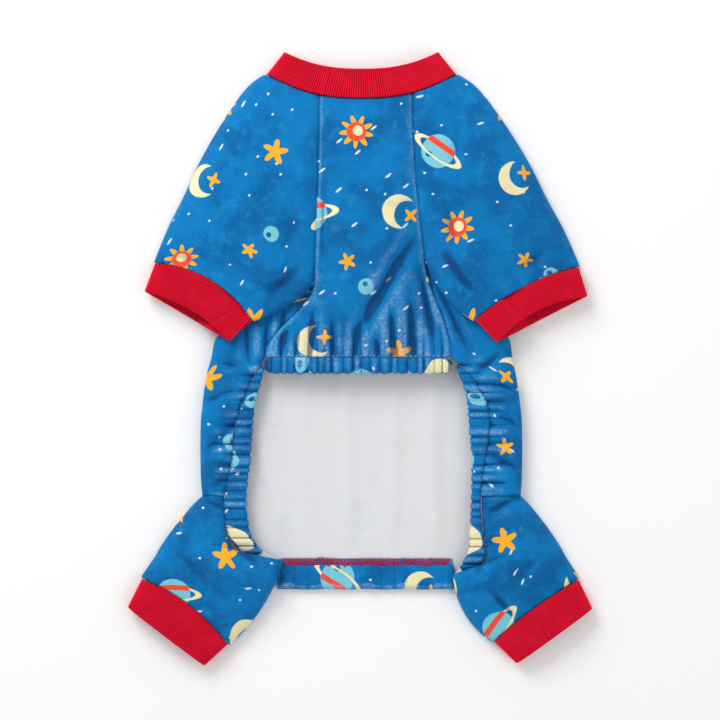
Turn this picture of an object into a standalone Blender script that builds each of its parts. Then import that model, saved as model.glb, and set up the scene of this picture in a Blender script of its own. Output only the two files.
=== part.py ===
"""Dog jumpsuit, laid flat on its back with the belly side up.

Units are metres. X runs across the body, +Y towards the neck and +Z up from the
surface that the back panel lies on. The plan is drawn down from the middle of the
collar seam, and the finished pieces are moved together so that the middle of the
footprint is the origin. Every panel is a sheet of cloth: a grid of points on its
middle layer, given its wall by a Solidify modifier. Side -1 is at low X and side +1
at high X, and the two differ as the cloth happens to lie.
"""

import math
from collections import namedtuple

import bmesh
import bpy
import numpy as np

# Cloth
FLEECE = 0.0020  # printed fleece with its pile
RIB_KNIT = 0.0026  # doubled rib of the collar and cuffs
SEAM_GAP = 0.0006  # clearance between two panels along a flat seam
GROOVE_GAP = 0.0016  # the same where both panels slope down to the seam
FOLD_HEIGHT = 0.0042  # middle layer to middle layer at a limb's inner fold
LAYER_GAP = 0.0008  # clearance where one panel lies on another
FOLD_LAYERS = 1.6  # walls of cloth from a limb's lower layer up to its outer fold

# Body, measured down from the collar seam in the middle of the chest
BODY_LENGTH = 0.3650
ARMPIT_DOWN = {-1: 0.1372, 1: 0.1178}
WAIST_DOWN = 0.1920  # stitch line of the belly's elastic
HIP_DOWN = 0.2955  # where the hind legs begin
CHEST_HALF_WIDTH = {-1: 0.0315, 1: 0.0383}  # sleeve seams at the collar
ARMPIT_HALF_WIDTH = {-1: 0.0353, 1: 0.0473}
FLANK_HALF_WIDTH = 0.1193
NARROWEST_WING = 0.0080  # turned-up cloth of the flank at the armpit
HIP_INSET = 0.0100  # from the flank's fold to the back panel's edge below the hip
TAIL_HALF_WIDTH = {-1: 0.0640, 1: 0.0700}
CHEST_LOFT = 0.0290
FLANK_LOFT = 0.0140
FLANK_RISE = 0.0550  # distance below the armpit over which the flank reaches its loft
SIDE_SEAM_RISE = 0.0300  # the same for the side seam between belly and flank
CASING_RISE = 0.0300  # distance below the waist over which a side casing settles
CROTCH_RISE = 0.0450  # distance below the hip over which it climbs onto the tail's hem
CASING_SHARE = 0.86  # height of a side casing as a share of the flank's
CHEST_CURVE = 1.8  # power of the sleeve seams' curve in plan
SIDE_CURVE = 1.9  # the same for the side seams
SAG_CURVE = 2.4  # the same for the collar seam
SAG_SHARE = 0.3  # share of the back panel's length that follows the collar seam

# Collar
COLLAR_SEAM_WIDTH = 0.1388
COLLAR_EDGE_WIDTH = 0.1140
COLLAR_DEPTH = 0.0210
COLLAR_SEAM_DIP = 0.0180
COLLAR_EDGE_DIP = 0.0128
COLLAR_LOFT = 0.0175

# Elastic casings and the hem at the tail
CASING_DEPTH = 0.0122
CASING_THICKNESS = 0.0046
GATHER_PITCH = 0.0075
GATHER_DEPTH = 0.0007
PUCKER_PITCH = 0.0140  # larger puckers of the flank beside its casing
PUCKER_DEPTH = 0.0010
PUCKER_REACH = 1.6  # the puckers are highest at 0.8 of the way to the casing
PUCKER_START = 0.0120  # distance below the waist over which the puckers begin
CASING_TAPER = 0.0040  # length of a casing's narrowed end
CASING_NARROW = 0.55  # width of that end as a share of the casing's
HEM_DEPTH = 0.0170
HEM_WAVE = 0.0009

# Sleeves
SHOULDER_STEP = 0.0042  # how far a shoulder stands out past the collar
SLEEVE_REACH = {-1: 0.1545, 1: 0.1628}  # middle of the body to the cuff seam's outer corner
SLEEVE_DROP = {-1: 0.1395, 1: 0.1425}  # collar corner to that corner
SLEEVE_LOFT = 0.0245
CUFF_LOFT = 0.0165
UNDERARM_OUT = {-1: 0.0803, 1: 0.0833}  # the cuff seam's inner corner
UNDERARM_DOWN = 0.1650
UNDERARM_BOW = {-1: 0.0036, 1: 0.0055}
ARMHOLE_SHARE = 0.70  # share of a sleeve's rows that run along the armhole
SLEEVE_WIDTH = 0.0850
UNDERARM_RAMP = 0.0240  # distance over which a sleeve climbs onto the flank
UNDERARM_LEAD = 1.30  # how many of those distances out from the flank it begins

# Front cuffs
CUFF_DEPTH = 0.0214
CUFF_INSET = 0.0030  # the gathered cloth stands out past its cuff by this
CUFF_TAPER_OUTER = 0.0036
CUFF_TAPER_INNER = 0.0066
CUFF_SEAM_BOW = {-1: 0.0100, 1: 0.0055}
CUFF_LIP = {-1: 0.0055, 1: 0.0070}  # how far the lower wall shows past the upper one

# Hind legs
LEG_REACH = {-1: 0.1643, 1: 0.1628}  # middle of the body to the cuff seam's outer corner
LEG_DROP = {-1: 0.0615, 1: 0.0623}  # hip to that corner
LEG_LOFT = 0.0215
CROTCH_OUT = {-1: 0.0590, 1: 0.0690}
CROTCH_DOWN = {-1: 0.3440, 1: 0.3545}
INSEAM_OUT = {-1: 0.0990, 1: 0.0983}  # the cuff seam's inner corner
INSEAM_DOWN = {-1: 0.4070, 1: 0.4050}
INSEAM_BOW = {-1: 0.0055, 1: 0.0070}
CROTCH_SHARE = 0.52  # share of a leg's rows that run beside the body
CROTCH_TUCK = 0.0060  # the leg's lower layer ends this far short of the crotch
CROTCH_CLEARANCE = 0.0010
LEG_LENGTH = 0.1000
LEG_WIDTH = 0.0950
LEG_RAMP = 0.0140  # distance over which a leg climbs onto the tail's hem
LEG_LEAD = 1.1  # how many of those distances out from the tail it begins
TAIL_FALL = 2.0  # how steeply the leg comes down past the tail's edge

# Hind cuffs
HIND_CUFF_DEPTH = 0.0224
HIND_CUFF_TAPER = 0.0040
HIND_CUFF_SEAM_BOW = {-1: 0.0062, 1: 0.0030}
HIND_CUFF_LOFT = 0.0150

SIDES = {"left": -1, "right": 1}

# The body's outline: share of BODY_LENGTH down, shares of FLANK_HALF_WIDTH out
OutlineRow = namedtuple("OutlineRow", "down left right")
OUTLINE = (
    OutlineRow(0.322, 0.296, 0.397),
    OutlineRow(0.345, 0.296, 0.540),
    OutlineRow(0.376, 0.296, 0.670),
    OutlineRow(0.388, 0.440, 0.712),
    OutlineRow(0.410, 0.600, 0.775),
    OutlineRow(0.440, 0.760, 0.840),
    OutlineRow(0.468, 0.860, 0.890),
    OutlineRow(0.495, 0.912, 0.925),
    OutlineRow(0.526, 0.932, 0.940),
    OutlineRow(0.563, 0.962, 0.962),
    OutlineRow(0.604, 0.982, 0.982),
    OutlineRow(0.665, 1.000, 1.000),
    OutlineRow(0.768, 1.000, 1.000),
    OutlineRow(0.810, 0.990, 0.992),
)

# Edges of the side casings, from the belly's elastic to the crotch, in the same
# shares: inner edges along the opening and outer ones along the flank
CasingRow = namedtuple("CasingRow", "down left_in left_out right_in right_out")
CASING_EDGES = (
    CasingRow(0.526, 0.600, 0.603, 0.560, 0.563),
    CasingRow(0.541, 0.601, 0.630, 0.575, 0.612),
    CasingRow(0.566, 0.610, 0.675, 0.606, 0.688),
    CasingRow(0.593, 0.632, 0.717, 0.640, 0.742),
    CasingRow(0.620, 0.655, 0.750, 0.654, 0.786),
    CasingRow(0.669, 0.672, 0.795, 0.667, 0.805),
    CasingRow(0.739, 0.686, 0.813, 0.682, 0.774),
    CasingRow(0.776, 0.702, 0.832, 0.682, 0.757),
    CasingRow(0.819, 0.711, 0.862, 0.679, 0.748),
    CasingRow(0.869, 0.698, 0.845, 0.673, 0.755),
    CasingRow(0.895, 0.676, 0.826, 0.669, 0.765),
    CasingRow(0.922, 0.620, 0.765, 0.662, 0.776),
    CasingRow(0.962, 0.560, 0.690, 0.600, 0.735),
)
CASING_END = {-1: 0.918, 1: 0.960}

# Upper edge of a hind leg where it joins the body, from the hip (0) to the crotch (1)
HaunchRow = namedtuple("HaunchRow", "at left left_down right right_down")
HAUNCH = (
    HaunchRow(0.00, 0.866, 0.8096, 0.753, 0.8096),
    HaunchRow(0.30, 0.853, 0.860, 0.760, 0.862),
    HaunchRow(0.55, 0.832, 0.902, 0.778, 0.912),
    HaunchRow(0.74, 0.770, 0.933, 0.760, 0.956),
    HaunchRow(0.88, 0.620, 0.936, 0.670, 0.978),
    HaunchRow(1.00, 0.494, 0.9425, 0.579, 0.972),
)

# Height of the belly panel along its middle and its side seams as shares of
# CHEST_LOFT, from the collar seam (0) to the waist (1)
LoftRow = namedtuple("LoftRow", "down middle seam")
LOFT_ROWS = (
    LoftRow(0.00, 0.55, 0.52),
    LoftRow(0.15, 0.76, 0.72),
    LoftRow(0.35, 0.97, 0.86),
    LoftRow(0.50, 1.00, 0.78),
    LoftRow(0.60, 0.99, 0.60),
    LoftRow(0.70, 0.94, 0.44),
    LoftRow(0.88, 0.76, 0.47),
    LoftRow(1.00, 0.64, 0.50),
)

# Outer edge of a sleeve and of a leg, as shares of the way down and of the way out
EdgeRow = namedtuple("EdgeRow", "down out")
SLEEVE_EDGE = (
    EdgeRow(0.000, 0.000),
    EdgeRow(0.043, 0.105),
    EdgeRow(0.128, 0.229),
    EdgeRow(0.300, 0.423),
    EdgeRow(0.470, 0.587),
    EdgeRow(0.640, 0.722),
    EdgeRow(0.810, 0.868),
    EdgeRow(1.000, 1.000),
)
LEG_EDGE = (
    EdgeRow(0.000, 0.000),
    EdgeRow(0.130, 0.170),
    EdgeRow(0.380, 0.450),
    EdgeRow(0.620, 0.675),
    EdgeRow(0.750, 0.775),
    EdgeRow(1.000, 1.000),
)

# Folds of the belly panel: each starts at the waist and runs up towards the chest.
# across is a share of the half-width, reach a share of the chest's length, lean how
# far its top end moves across, and width and depth are in metres
Fold = namedtuple("Fold", "across reach lean width depth")
BELLY_FOLDS = (
    Fold(-0.84, 0.20, 0.10, 0.0050, 0.0032),
    Fold(-0.50, 0.34, 0.16, 0.0060, 0.0042),
    Fold(-0.24, 0.20, 0.02, 0.0050, 0.0026),
    Fold(0.02, 0.42, 0.62, 0.0062, 0.0044),
    Fold(0.30, 0.18, 0.05, 0.0050, 0.0026),
    Fold(0.55, 0.30, 0.22, 0.0058, 0.0036),
    Fold(0.84, 0.22, 0.05, 0.0050, 0.0032),
)

# Creases of a limb, from one place to another: down its rows and in from its outer
# edge, both as shares
Crease = namedtuple("Crease", "down0 in0 down1 in1 width depth")
SLEEVE_CREASES = (
    Crease(0.66, 0.98, 0.94, 0.55, 0.0075, 0.0030),
    Crease(0.22, 0.45, 0.66, 0.62, 0.0090, 0.0015),
)
LEG_CREASES = (
    Crease(0.10, 0.10, 0.02, 0.95, 0.0060, 0.0026),
    Crease(0.52, 0.92, 0.90, 0.52, 0.0060, 0.0032),
)

# Colour and roughness of a finish
FINISHES = {
    "fleece": ((0.010, 0.176, 0.500, 1.0), 0.90),
    "rib": ((0.680, 0.006, 0.022, 1.0), 0.85),
}


def smooth_step(t):
    t = min(1.0, max(0.0, t))
    return t * t * (3 - 2 * t)


def mix(a, b, t):
    return a + (b - a) * t


def through(rows, column, at):
    """Value at a place on the smooth curve through one column of a table."""
    knots = [row[0] for row in rows]
    values = [getattr(row, column) for row in rows]
    at = min(knots[-1], max(knots[0], at))
    i = min(len(knots) - 2, max(0, int(np.searchsorted(knots, at, "right")) - 1))

    def slope(k):
        low, high = max(0, k - 1), min(len(knots) - 1, k + 1)
        return (values[high] - values[low]) / (knots[high] - knots[low])

    span = knots[i + 1] - knots[i]
    t = (at - knots[i]) / span
    return (
        values[i] * (1 + 2 * t) * (1 - t) ** 2
        + slope(i) * span * t * (1 - t) ** 2
        + values[i + 1] * t * t * (3 - 2 * t)
        - slope(i + 1) * span * t * t * (1 - t)
    )


def column(side):
    return "left" if side < 0 else "right"


def eased(count):
    """Shares from 0 to 1, closer together at both ends."""
    return [(1 - math.cos(math.pi * k / count)) / 2 for k in range(count + 1)]


# Plan and heights of the body


def collar_seam_y(x):
    """The collar seam sags in the middle of the chest."""
    return COLLAR_SEAM_DIP * min(1.0, abs(x) / (COLLAR_SEAM_WIDTH / 2)) ** SAG_CURVE


def outline_x(side, down):
    """Half-width of the body at the fold of its flank."""
    return FLANK_HALF_WIDTH * through(OUTLINE, column(side), down / BODY_LENGTH)


def casing_x(side, down, edge):
    return FLANK_HALF_WIDTH * through(CASING_EDGES, column(side) + edge, down / BODY_LENGTH)


def waist_x(side):
    return casing_x(side, WAIST_DOWN, "_in")


def belly_x(side, down):
    """Half-width of the belly panel: its sleeve seam, then its side seam."""
    if down < ARMPIT_DOWN[side]:
        share = max(0.0, down / ARMPIT_DOWN[side])
        return mix(CHEST_HALF_WIDTH[side], ARMPIT_HALF_WIDTH[side], share**CHEST_CURVE)
    share = min(1.0, (down - ARMPIT_DOWN[side]) / (WAIST_DOWN - ARMPIT_DOWN[side]))
    return mix(ARMPIT_HALF_WIDTH[side], waist_x(side), math.sin(share * math.pi / 2) ** SIDE_CURVE)


def lip_x(side, down):
    """Half-width of the edge of the flank's upper layer."""
    if down <= WAIST_DOWN:
        return belly_x(side, down)
    return casing_x(side, down, "_out")


def seam_height(side, down):
    """Height of the belly panel's middle layer along its side seams."""
    armpit = 0.70
    if down < ARMPIT_DOWN[side]:
        share = armpit * max(0.0, down) / ARMPIT_DOWN[side]
    else:
        rest = (down - ARMPIT_DOWN[side]) / (WAIST_DOWN - ARMPIT_DOWN[side])
        share = mix(armpit, 1.0, rest)
    return CHEST_LOFT * through(LOFT_ROWS, "seam", share)


def flank_height(side, down):
    """Height of the middle layer on top of the flank's fold."""
    grown = smooth_step((down - ARMPIT_DOWN[side]) / FLANK_RISE)
    return (FLANK_LOFT - FLEECE / 2) * mix(0.50, 1.0, grown)


def lip_height(side, down):
    """Height of the middle layer at the edge of the flank's upper layer."""
    if down <= WAIST_DOWN:
        near = smooth_step((down - ARMPIT_DOWN[side]) / SIDE_SEAM_RISE)
        return mix(flank_height(side, ARMPIT_DOWN[side]), seam_height(side, down), near)
    casing = (FLANK_LOFT - FLEECE / 2) * CASING_SHARE
    at_crotch = smooth_step((down - HIP_DOWN) / CROTCH_RISE)
    casing = mix(casing, crotch_height() + CROTCH_CLEARANCE, at_crotch)
    settled = smooth_step((down - WAIST_DOWN) / CASING_RISE)
    return mix(seam_height(side, WAIST_DOWN), casing, settled)


def hem_top():
    """Height of the middle layer of a sheet that lies on the tail's hem."""
    return FLEECE / 2 + 2 * (FLEECE + LAYER_GAP) + HEM_WAVE


def crotch_height():
    return hem_top() + FOLD_HEIGHT


def flank_surface(side, x, down):
    """Height of the middle layer of the flank's turned-up cloth, away from the fold."""
    fold = outline_x(side, down)
    lip = min(lip_x(side, down) + GROOVE_GAP / 2, fold - NARROWEST_WING)
    inward = min(1.0, max(0.0, (fold - abs(x)) / (fold - lip)))
    return mix(flank_height(side, down), lip_height(side, down), inward)


def hip_x(side, down):
    """Half-width of the back panel between the hip and the tail."""
    share = min(1.0, max(0.0, (down - HIP_DOWN) / (BODY_LENGTH - HIP_DOWN)))
    start = outline_x(side, HIP_DOWN) - HIP_INSET
    return mix(start, TAIL_HALF_WIDTH[side], mix(share, smooth_step(share), 0.4))


# Building


def finish_of(name):
    material = bpy.data.materials.get(name)
    if material is None:
        material = bpy.data.materials.new(name)
        material.use_nodes = True
        colour, roughness = FINISHES[name]
        shader = material.node_tree.nodes["Principled BSDF"]
        shader.inputs["Base Color"].default_value = colour
        shader.inputs["Roughness"].default_value = roughness
        material.diffuse_color = colour
    return material


def place(name, points, faces, finish, wall=None):
    """An object from points and faces, with a wall of cloth when one is asked for."""
    mesh = bpy.data.meshes.new(name)
    mesh.from_pydata([tuple(p) for p in points], [], faces)
    work = bmesh.new()
    work.from_mesh(mesh)
    bmesh.ops.remove_doubles(work, verts=work.verts, dist=1e-6)
    bmesh.ops.recalc_face_normals(work, faces=work.faces)
    work.to_mesh(mesh)
    work.free()
    mesh.materials.append(finish_of(finish))
    mesh.shade_smooth()
    obj = bpy.data.objects.new(name, mesh)
    bpy.context.scene.collection.objects.link(obj)
    if wall:
        shell = obj.modifiers.new("cloth wall", "SOLIDIFY")
        shell.thickness = wall
        shell.offset = 0.0
    return obj


def sheet(name, grid, finish, wall, wrapped_from=None):
    """A sheet of cloth from rows of points. None leaves a hole in the grid, and the
    last column is joined to the first from one row on."""
    points, index = [], {}
    for r, row in enumerate(grid):
        for c, point in enumerate(row):
            if point is not None:
                index[r, c] = len(points)
                points.append(point)
    faces = []
    columns = len(grid[0])
    for r in range(len(grid) - 1):
        wrapped = wrapped_from is not None and r >= wrapped_from
        for c in range(columns if wrapped else columns - 1):
            corners = [(r, c), (r, (c + 1) % columns), (r + 1, (c + 1) % columns), (r + 1, c)]
            if all(corner in index for corner in corners):
                faces.append([index[corner] for corner in corners])
    return place(name, points, faces, finish, wall)


def band(name, rings, finish):
    """A closed solid through rings of points, with a fan over each end."""
    count = len(rings[0])
    points = [point for ring in rings for point in ring]
    faces = []
    for r in range(len(rings) - 1):
        for k in range(count):
            a, b = r * count + k, r * count + (k + 1) % count
            faces.append([a, b, b + count, a + count])
    for r in (0, len(rings) - 1):
        middle = np.mean(np.array(rings[r]), axis=0)
        points.append(tuple(middle))
        for k in range(count):
            faces.append([r * count + k, r * count + (k + 1) % count, len(points) - 1])
    return place(name, points, faces, finish)


# Collar, belly and back


def collar_ring(share, steps=18):
    """One ring of the collar, from its seam (0) to its free edge (1)."""
    half = mix(COLLAR_SEAM_WIDTH, COLLAR_EDGE_WIDTH, share) / 2
    dip = mix(COLLAR_SEAM_DIP, COLLAR_EDGE_DIP, share)
    rise = (mix(COLLAR_LOFT, COLLAR_LOFT * 0.82, share) - RIB_KNIT) / 2
    ring = []
    for k in range(2 * steps):
        turn = math.pi * k / steps
        across = math.copysign(abs(math.cos(turn)) ** 0.84, math.cos(turn))
        power = 0.80 if k < steps else 0.45
        up = math.copysign(abs(math.sin(turn)) ** power, math.sin(turn))
        y = SEAM_GAP + COLLAR_DEPTH * share + dip * abs(across) ** SAG_CURVE
        ring.append((half * across, y, RIB_KNIT / 2 + rise * (1 + up)))
    return ring


def make_collar():
    rings = [collar_ring(share) for share in (0.0, 0.5, 1.0)]
    sheet("neck_collar", rings, "rib", RIB_KNIT, wrapped_from=0)


def belly_height(side, across, share, down):
    """Height of the belly panel, with its crown and its folds."""
    edge = belly_x(side, down)
    left, right = seam_height(-1, down), seam_height(1, down)
    seam = mix(left, right, (1 + across) / 2)
    middle = CHEST_LOFT * through(LOFT_ROWS, "middle", share)
    height = seam + (middle - seam) * (1 - abs(across) ** 2.2)
    for fold in BELLY_FOLDS:
        up = (1 - share) / fold.reach
        centre = fold.across + fold.lean * (1 - share)
        fade = math.exp(-up * up) * smooth_step((1 - abs(across)) * 5)
        height -= fold.depth * fade * math.exp(-(((across - centre) * edge / fold.width) ** 2))
    return height


def make_belly():
    rows, columns = 12, 28
    grid = []
    for r in range(rows + 1):
        share = (r / rows) ** 0.85
        row = []
        for c in range(columns + 1):
            across = 2 * c / columns - 1
            side = -1 if across < 0 else 1
            start = collar_seam_y(across * CHEST_HALF_WIDTH[side]) - SEAM_GAP / 2
            y = mix(start, SEAM_GAP / 2 - WAIST_DOWN, share)
            x = across * (belly_x(side, -y) - GROOVE_GAP / 2)
            row.append((x, y, belly_height(side, across, share, -y)))
        grid.append(row)
    sheet("belly_panel", grid, "fleece", FLEECE)


def back_rows():
    """Distances down the back panel, close together where the flanks gather."""
    rows = [BODY_LENGTH * share for share in (0.0, 0.08, 0.16, 0.24, 0.30)]
    rows += [ARMPIT_DOWN[1], 0.125, 0.131, ARMPIT_DOWN[-1], 0.141, 0.146, 0.153, 0.161]
    rows += [0.170, 0.180, WAIST_DOWN]
    gathers = 24
    rows += [mix(WAIST_DOWN, HIP_DOWN, k / gathers) for k in range(1, gathers + 1)]
    rows += [mix(HIP_DOWN, BODY_LENGTH, share) for share in (0.01, 0.2, 0.4, 0.6, 0.8, 1.0)]
    return rows


def flank_wing(side, down, steps):
    """The cloth that turns up over one flank, from its fold to its edge."""
    fold = outline_x(side, down)
    lip = min(lip_x(side, down) + GROOVE_GAP / 2, fold - NARROWEST_WING)
    top = flank_height(side, down)
    radius = min(top / 2, (fold - lip) * 0.45)
    wave = math.sin(2 * math.pi * (down - WAIST_DOWN) / PUCKER_PITCH)
    wave *= smooth_step((down - WAIST_DOWN) / PUCKER_START) * PUCKER_DEPTH
    turned = steps - 3
    wing = []
    for k in range(1, turned + 1):
        turn = math.pi * k / turned
        x = fold - radius + radius * math.sin(turn)
        z = FLEECE / 2 + (top - FLEECE / 2) * (1 - math.cos(turn)) / 2
        wing.append((side * x, -down, z))
    for t in (1 / 3, 2 / 3, 1.0):
        x = mix(fold - radius, lip, t)
        z = mix(top, lip_height(side, down), t) + wave * t * (PUCKER_REACH - t)
        wing.append((side * x, -down, z))
    return wing


def back_half_width(side, down):
    """Half-width of the layer that lies on the surface."""
    if down < ARMPIT_DOWN[side] - 1e-6:
        return belly_x(side, down) - SEAM_GAP / 2
    if down > HIP_DOWN + 1e-6:
        return hip_x(side, down) - SEAM_GAP / 2
    fold = outline_x(side, down)
    wing = max(NARROWEST_WING, fold - lip_x(side, down) - GROOVE_GAP / 2)
    return fold - min(flank_height(side, down) / 2, wing * 0.45)


def make_back():
    """The back panel lies on the surface and turns up over both flanks."""
    steps, columns = 7, 8
    grid = []
    for down in back_rows():
        wings = {}
        for side in (-1, 1):
            turned = ARMPIT_DOWN[side] - 1e-6 <= down <= HIP_DOWN + 1e-6
            wings[side] = flank_wing(side, down, steps) if turned else [None] * steps
        row = list(reversed(wings[-1]))
        for c in range(columns + 1):
            across = 2 * c / columns - 1
            side = -1 if across < 0 else 1
            x = across * back_half_width(side, down)
            curve = collar_seam_y(x) - SEAM_GAP / 2
            y = -down + curve * max(0.0, 1 - down / (SAG_SHARE * BODY_LENGTH))
            row.append((x, y, FLEECE / 2))
        row += wings[1]
        grid.append(row)
    sheet("back_panel", grid, "fleece", FLEECE)


# Casings and hem


def gather(length):
    """Rise and fall of a gathered casing along its length, -1 to 1."""
    return math.sin(2 * math.pi * length / GATHER_PITCH)


def casing_ring(centre, across, half_width, thickness):
    ring = []
    for k in range(8):
        turn = 2 * math.pi * k / 8
        out = math.copysign(abs(math.cos(turn)) ** 0.75, math.cos(turn))
        up = math.copysign(abs(math.sin(turn)) ** 0.85, math.sin(turn))
        point = np.array(centre) + np.array([*across, 0.0]) * half_width * out
        point[2] += thickness / 2 * up
        ring.append(tuple(point))
    return ring


def end_share(t, length):
    """A casing narrows over a few millimetres at both ends."""
    near = min(t, 1 - t) * length
    return mix(CASING_NARROW, 1.0, smooth_step(near / CASING_TAPER))


def make_belly_casing():
    """The gathered casing of the elastic below the belly."""
    left, right = -waist_x(-1) + SEAM_GAP, waist_x(1) - SEAM_GAP
    count = 57
    rings = []
    for k in range(count + 1):
        t = k / count
        x = mix(left, right, t)
        wave = gather(x - left)
        side = -1 if x < 0 else 1
        height = belly_height(side, mix(-1, 1, t), 1.0, WAIST_DOWN)
        narrow = end_share(t, right - left)
        thickness = CASING_THICKNESS * narrow + GATHER_DEPTH * wave
        depth = CASING_DEPTH + GATHER_DEPTH * wave
        y = -WAIST_DOWN - SEAM_GAP / 2 - depth / 2
        rings.append(casing_ring((x, y, height), (0.0, 1.0), depth / 2 * narrow, thickness))
    band("belly_casing", rings, "fleece")


def make_side_casing(name, side):
    """The gathered casing between a flank and the opening."""
    start, end = 0.5415 * BODY_LENGTH, CASING_END[side] * BODY_LENGTH
    count = 56
    rings = []
    for k in range(count + 1):
        t = k / count
        down = mix(start, end, t)
        wave = gather(down - start)
        inner = casing_x(side, down, "_in") + SEAM_GAP + GATHER_DEPTH * (1 - wave)
        outer = casing_x(side, down, "_out") - SEAM_GAP / 2
        narrow = end_share(t, end - start)
        thickness = CASING_THICKNESS * narrow + GATHER_DEPTH * wave
        centre = (side * (inner + outer) / 2, -down, lip_height(side, down))
        rings.append(casing_ring(centre, (1.0, 0.0), (outer - inner) / 2 * narrow, thickness))
    band(name, rings, "fleece")


def make_hem():
    """The hem that is turned up onto the back panel at the tail."""
    rows, columns = 2, 24
    grid = []
    for r in range(rows + 1):
        down = BODY_LENGTH - HEM_DEPTH * r / rows
        row = []
        for c in range(columns + 1):
            across = 2 * c / columns - 1
            side = -1 if across < 0 else 1
            x = across * (hip_x(side, BODY_LENGTH) - 0.0010)
            wave = math.sin(2 * math.pi * x / (2.6 * PUCKER_PITCH) + 0.8) * HEM_WAVE
            z = FLEECE * 1.5 + LAYER_GAP + max(0.0, wave) * (1 - r / rows * 0.6)
            row.append((x, -down + wave * 0.8, z))
        grid.append(row)
    sheet("tail_hem", grid, "fleece", FLEECE)


# Limbs


def unit(way):
    return way / np.linalg.norm(way)


def across_from(start, end, away):
    """Unit direction square to the line between two points, pointing away from a third."""
    line = unit(end - start)
    square = np.array([-line[1], line[0]])
    return -square if np.dot(away - start, square) > 0 else square


def bowed(start, end, t, swell):
    """A point on a curve between two points that swells out in its middle."""
    return start + (end - start) * t + swell * 4 * t * (1 - t)


def crease_drop(creases, down, inward, spans):
    """How far the creases lower the cloth at one place of a limb."""
    spans = np.array(spans)
    drop = 0.0
    for crease in creases:
        a = np.array([crease.down0, crease.in0]) * spans
        b = np.array([crease.down1, crease.in1]) * spans
        p = np.array([down, inward]) * spans
        t = float(np.clip(np.dot(p - a, b - a) / np.dot(b - a, b - a), 0.0, 1.0))
        gap = float(np.linalg.norm(p - a - (b - a) * t))
        drop += crease.depth * math.exp(-((gap / crease.width) ** 2))
    return drop * math.sin(math.pi * inward) ** 0.5


LimbRow = namedtuple("LimbRow", "share outer upper lower upper_height lower_height closed")


def limb(name, side, rows, ground, loft, bend, creases, spans):
    """A sleeve or a leg: open beside the body and a closed tube from there on.

    outer is the plan of a row's outer fold, and upper and lower those of its two
    layers' inner edges, with their heights. ground gives the height of the lower
    layer, loft that of the crown, and bend moves the upper layer in plan."""
    grid, first_closed = [], None
    for r, line in enumerate(rows):
        if line.closed and first_closed is None:
            first_closed = r
        row = []
        for s in reversed(eased(8)):
            spot = line.outer + (line.upper - line.outer) * s
            floor = mix(ground(line.share, *spot), line.lower_height, s**6)
            rounded = (1 - (1 - s) ** 2.4) ** (1 / 2.4)
            fall = s ** (2.8 if line.closed else 1.6)
            crown = (loft(line.share) - floor) * rounded
            crown *= (1 - fall) ** (1 / 2.2 if line.closed else 1.0)
            z = floor + crown + (line.upper_height - floor) * fall
            z -= crease_drop(creases, line.share, s, spans)
            if s < 1e-9:
                z = floor + FLEECE * FOLD_LAYERS
            spot = spot + bend(line.share, s)
            row.append((side * spot[0], spot[1], z))
        for s in eased(5)[1:]:
            spot = line.outer + (line.lower - line.outer) * s
            floor = mix(ground(line.share, *spot), line.lower_height, s**6)
            lift = FLEECE * FOLD_LAYERS * (1 - s) ** 12
            row.append((side * spot[0], spot[1], floor + lift))
        grid.append(row)
    return sheet(name, grid, "fleece", FLEECE, wrapped_from=first_closed)


def sleeve_points(side):
    """Collar corner, armpit and the two corners of the cuff seam, in plan."""
    shoulder = np.array([COLLAR_SEAM_WIDTH / 2 + SHOULDER_STEP, COLLAR_SEAM_DIP])
    armpit = np.array([ARMPIT_HALF_WIDTH[side] + GROOVE_GAP, -ARMPIT_DOWN[side]])
    inner = np.array([UNDERARM_OUT[side], -UNDERARM_DOWN])
    outer = np.array([SLEEVE_REACH[side], shoulder[1] - SLEEVE_DROP[side]])
    return shoulder, armpit, outer, inner


def underarm_ground(side, share, x, y):
    """Height of a sleeve's lower layer, which climbs onto the flank near the armpit."""
    depth = outline_x(side, -y) - abs(x)
    lifted = flank_surface(side, x, max(-y, ARMPIT_DOWN[side])) + LAYER_GAP + FLEECE / 2
    near = smooth_step(UNDERARM_LEAD + depth / UNDERARM_RAMP)
    near *= smooth_step((share / ARMHOLE_SHARE - 0.45) / 0.40)
    return FLEECE / 2 + lifted * near


def sleeve_rows(side):
    shoulder, armpit, cuff_outer, cuff_inner = sleeve_points(side)
    swell = across_from(armpit, cuff_inner, cuff_outer) * UNDERARM_BOW[side]
    shares = [ARMHOLE_SHARE * t for t in (0.0, 0.10, 0.25, 0.42, 0.60, 0.76, 0.90, 1.0)]
    shares += [0.78, 0.86, 0.93, 1.0]
    rows = []
    for share in shares:
        down = share**0.92
        x = mix(shoulder[0], cuff_outer[0], through(SLEEVE_EDGE, "out", down))
        outer = np.array([x, mix(shoulder[1], cuff_outer[1], down)])
        if share < ARMHOLE_SHARE - 1e-6:
            t = share / ARMHOLE_SHARE
            y = mix(collar_seam_y(CHEST_HALF_WIDTH[side]) - GROOVE_GAP / 2, armpit[1], t)
            inner = np.array([belly_x(side, -y) + GROOVE_GAP / 2, y])
            top = seam_height(side, -y)
            low = mix(FLEECE / 2, underarm_ground(side, share, *inner), smooth_step((t - 0.8) / 0.2))
            rows.append(LimbRow(share, outer, inner, inner, top, low, False))
        else:
            t = (share - ARMHOLE_SHARE) / (1 - ARMHOLE_SHARE)
            inner = bowed(armpit, cuff_inner, t, swell)
            low = underarm_ground(side, share, *inner)
            rows.append(LimbRow(share, outer, inner, inner, low + FOLD_HEIGHT, low, True))
    return rows


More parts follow.
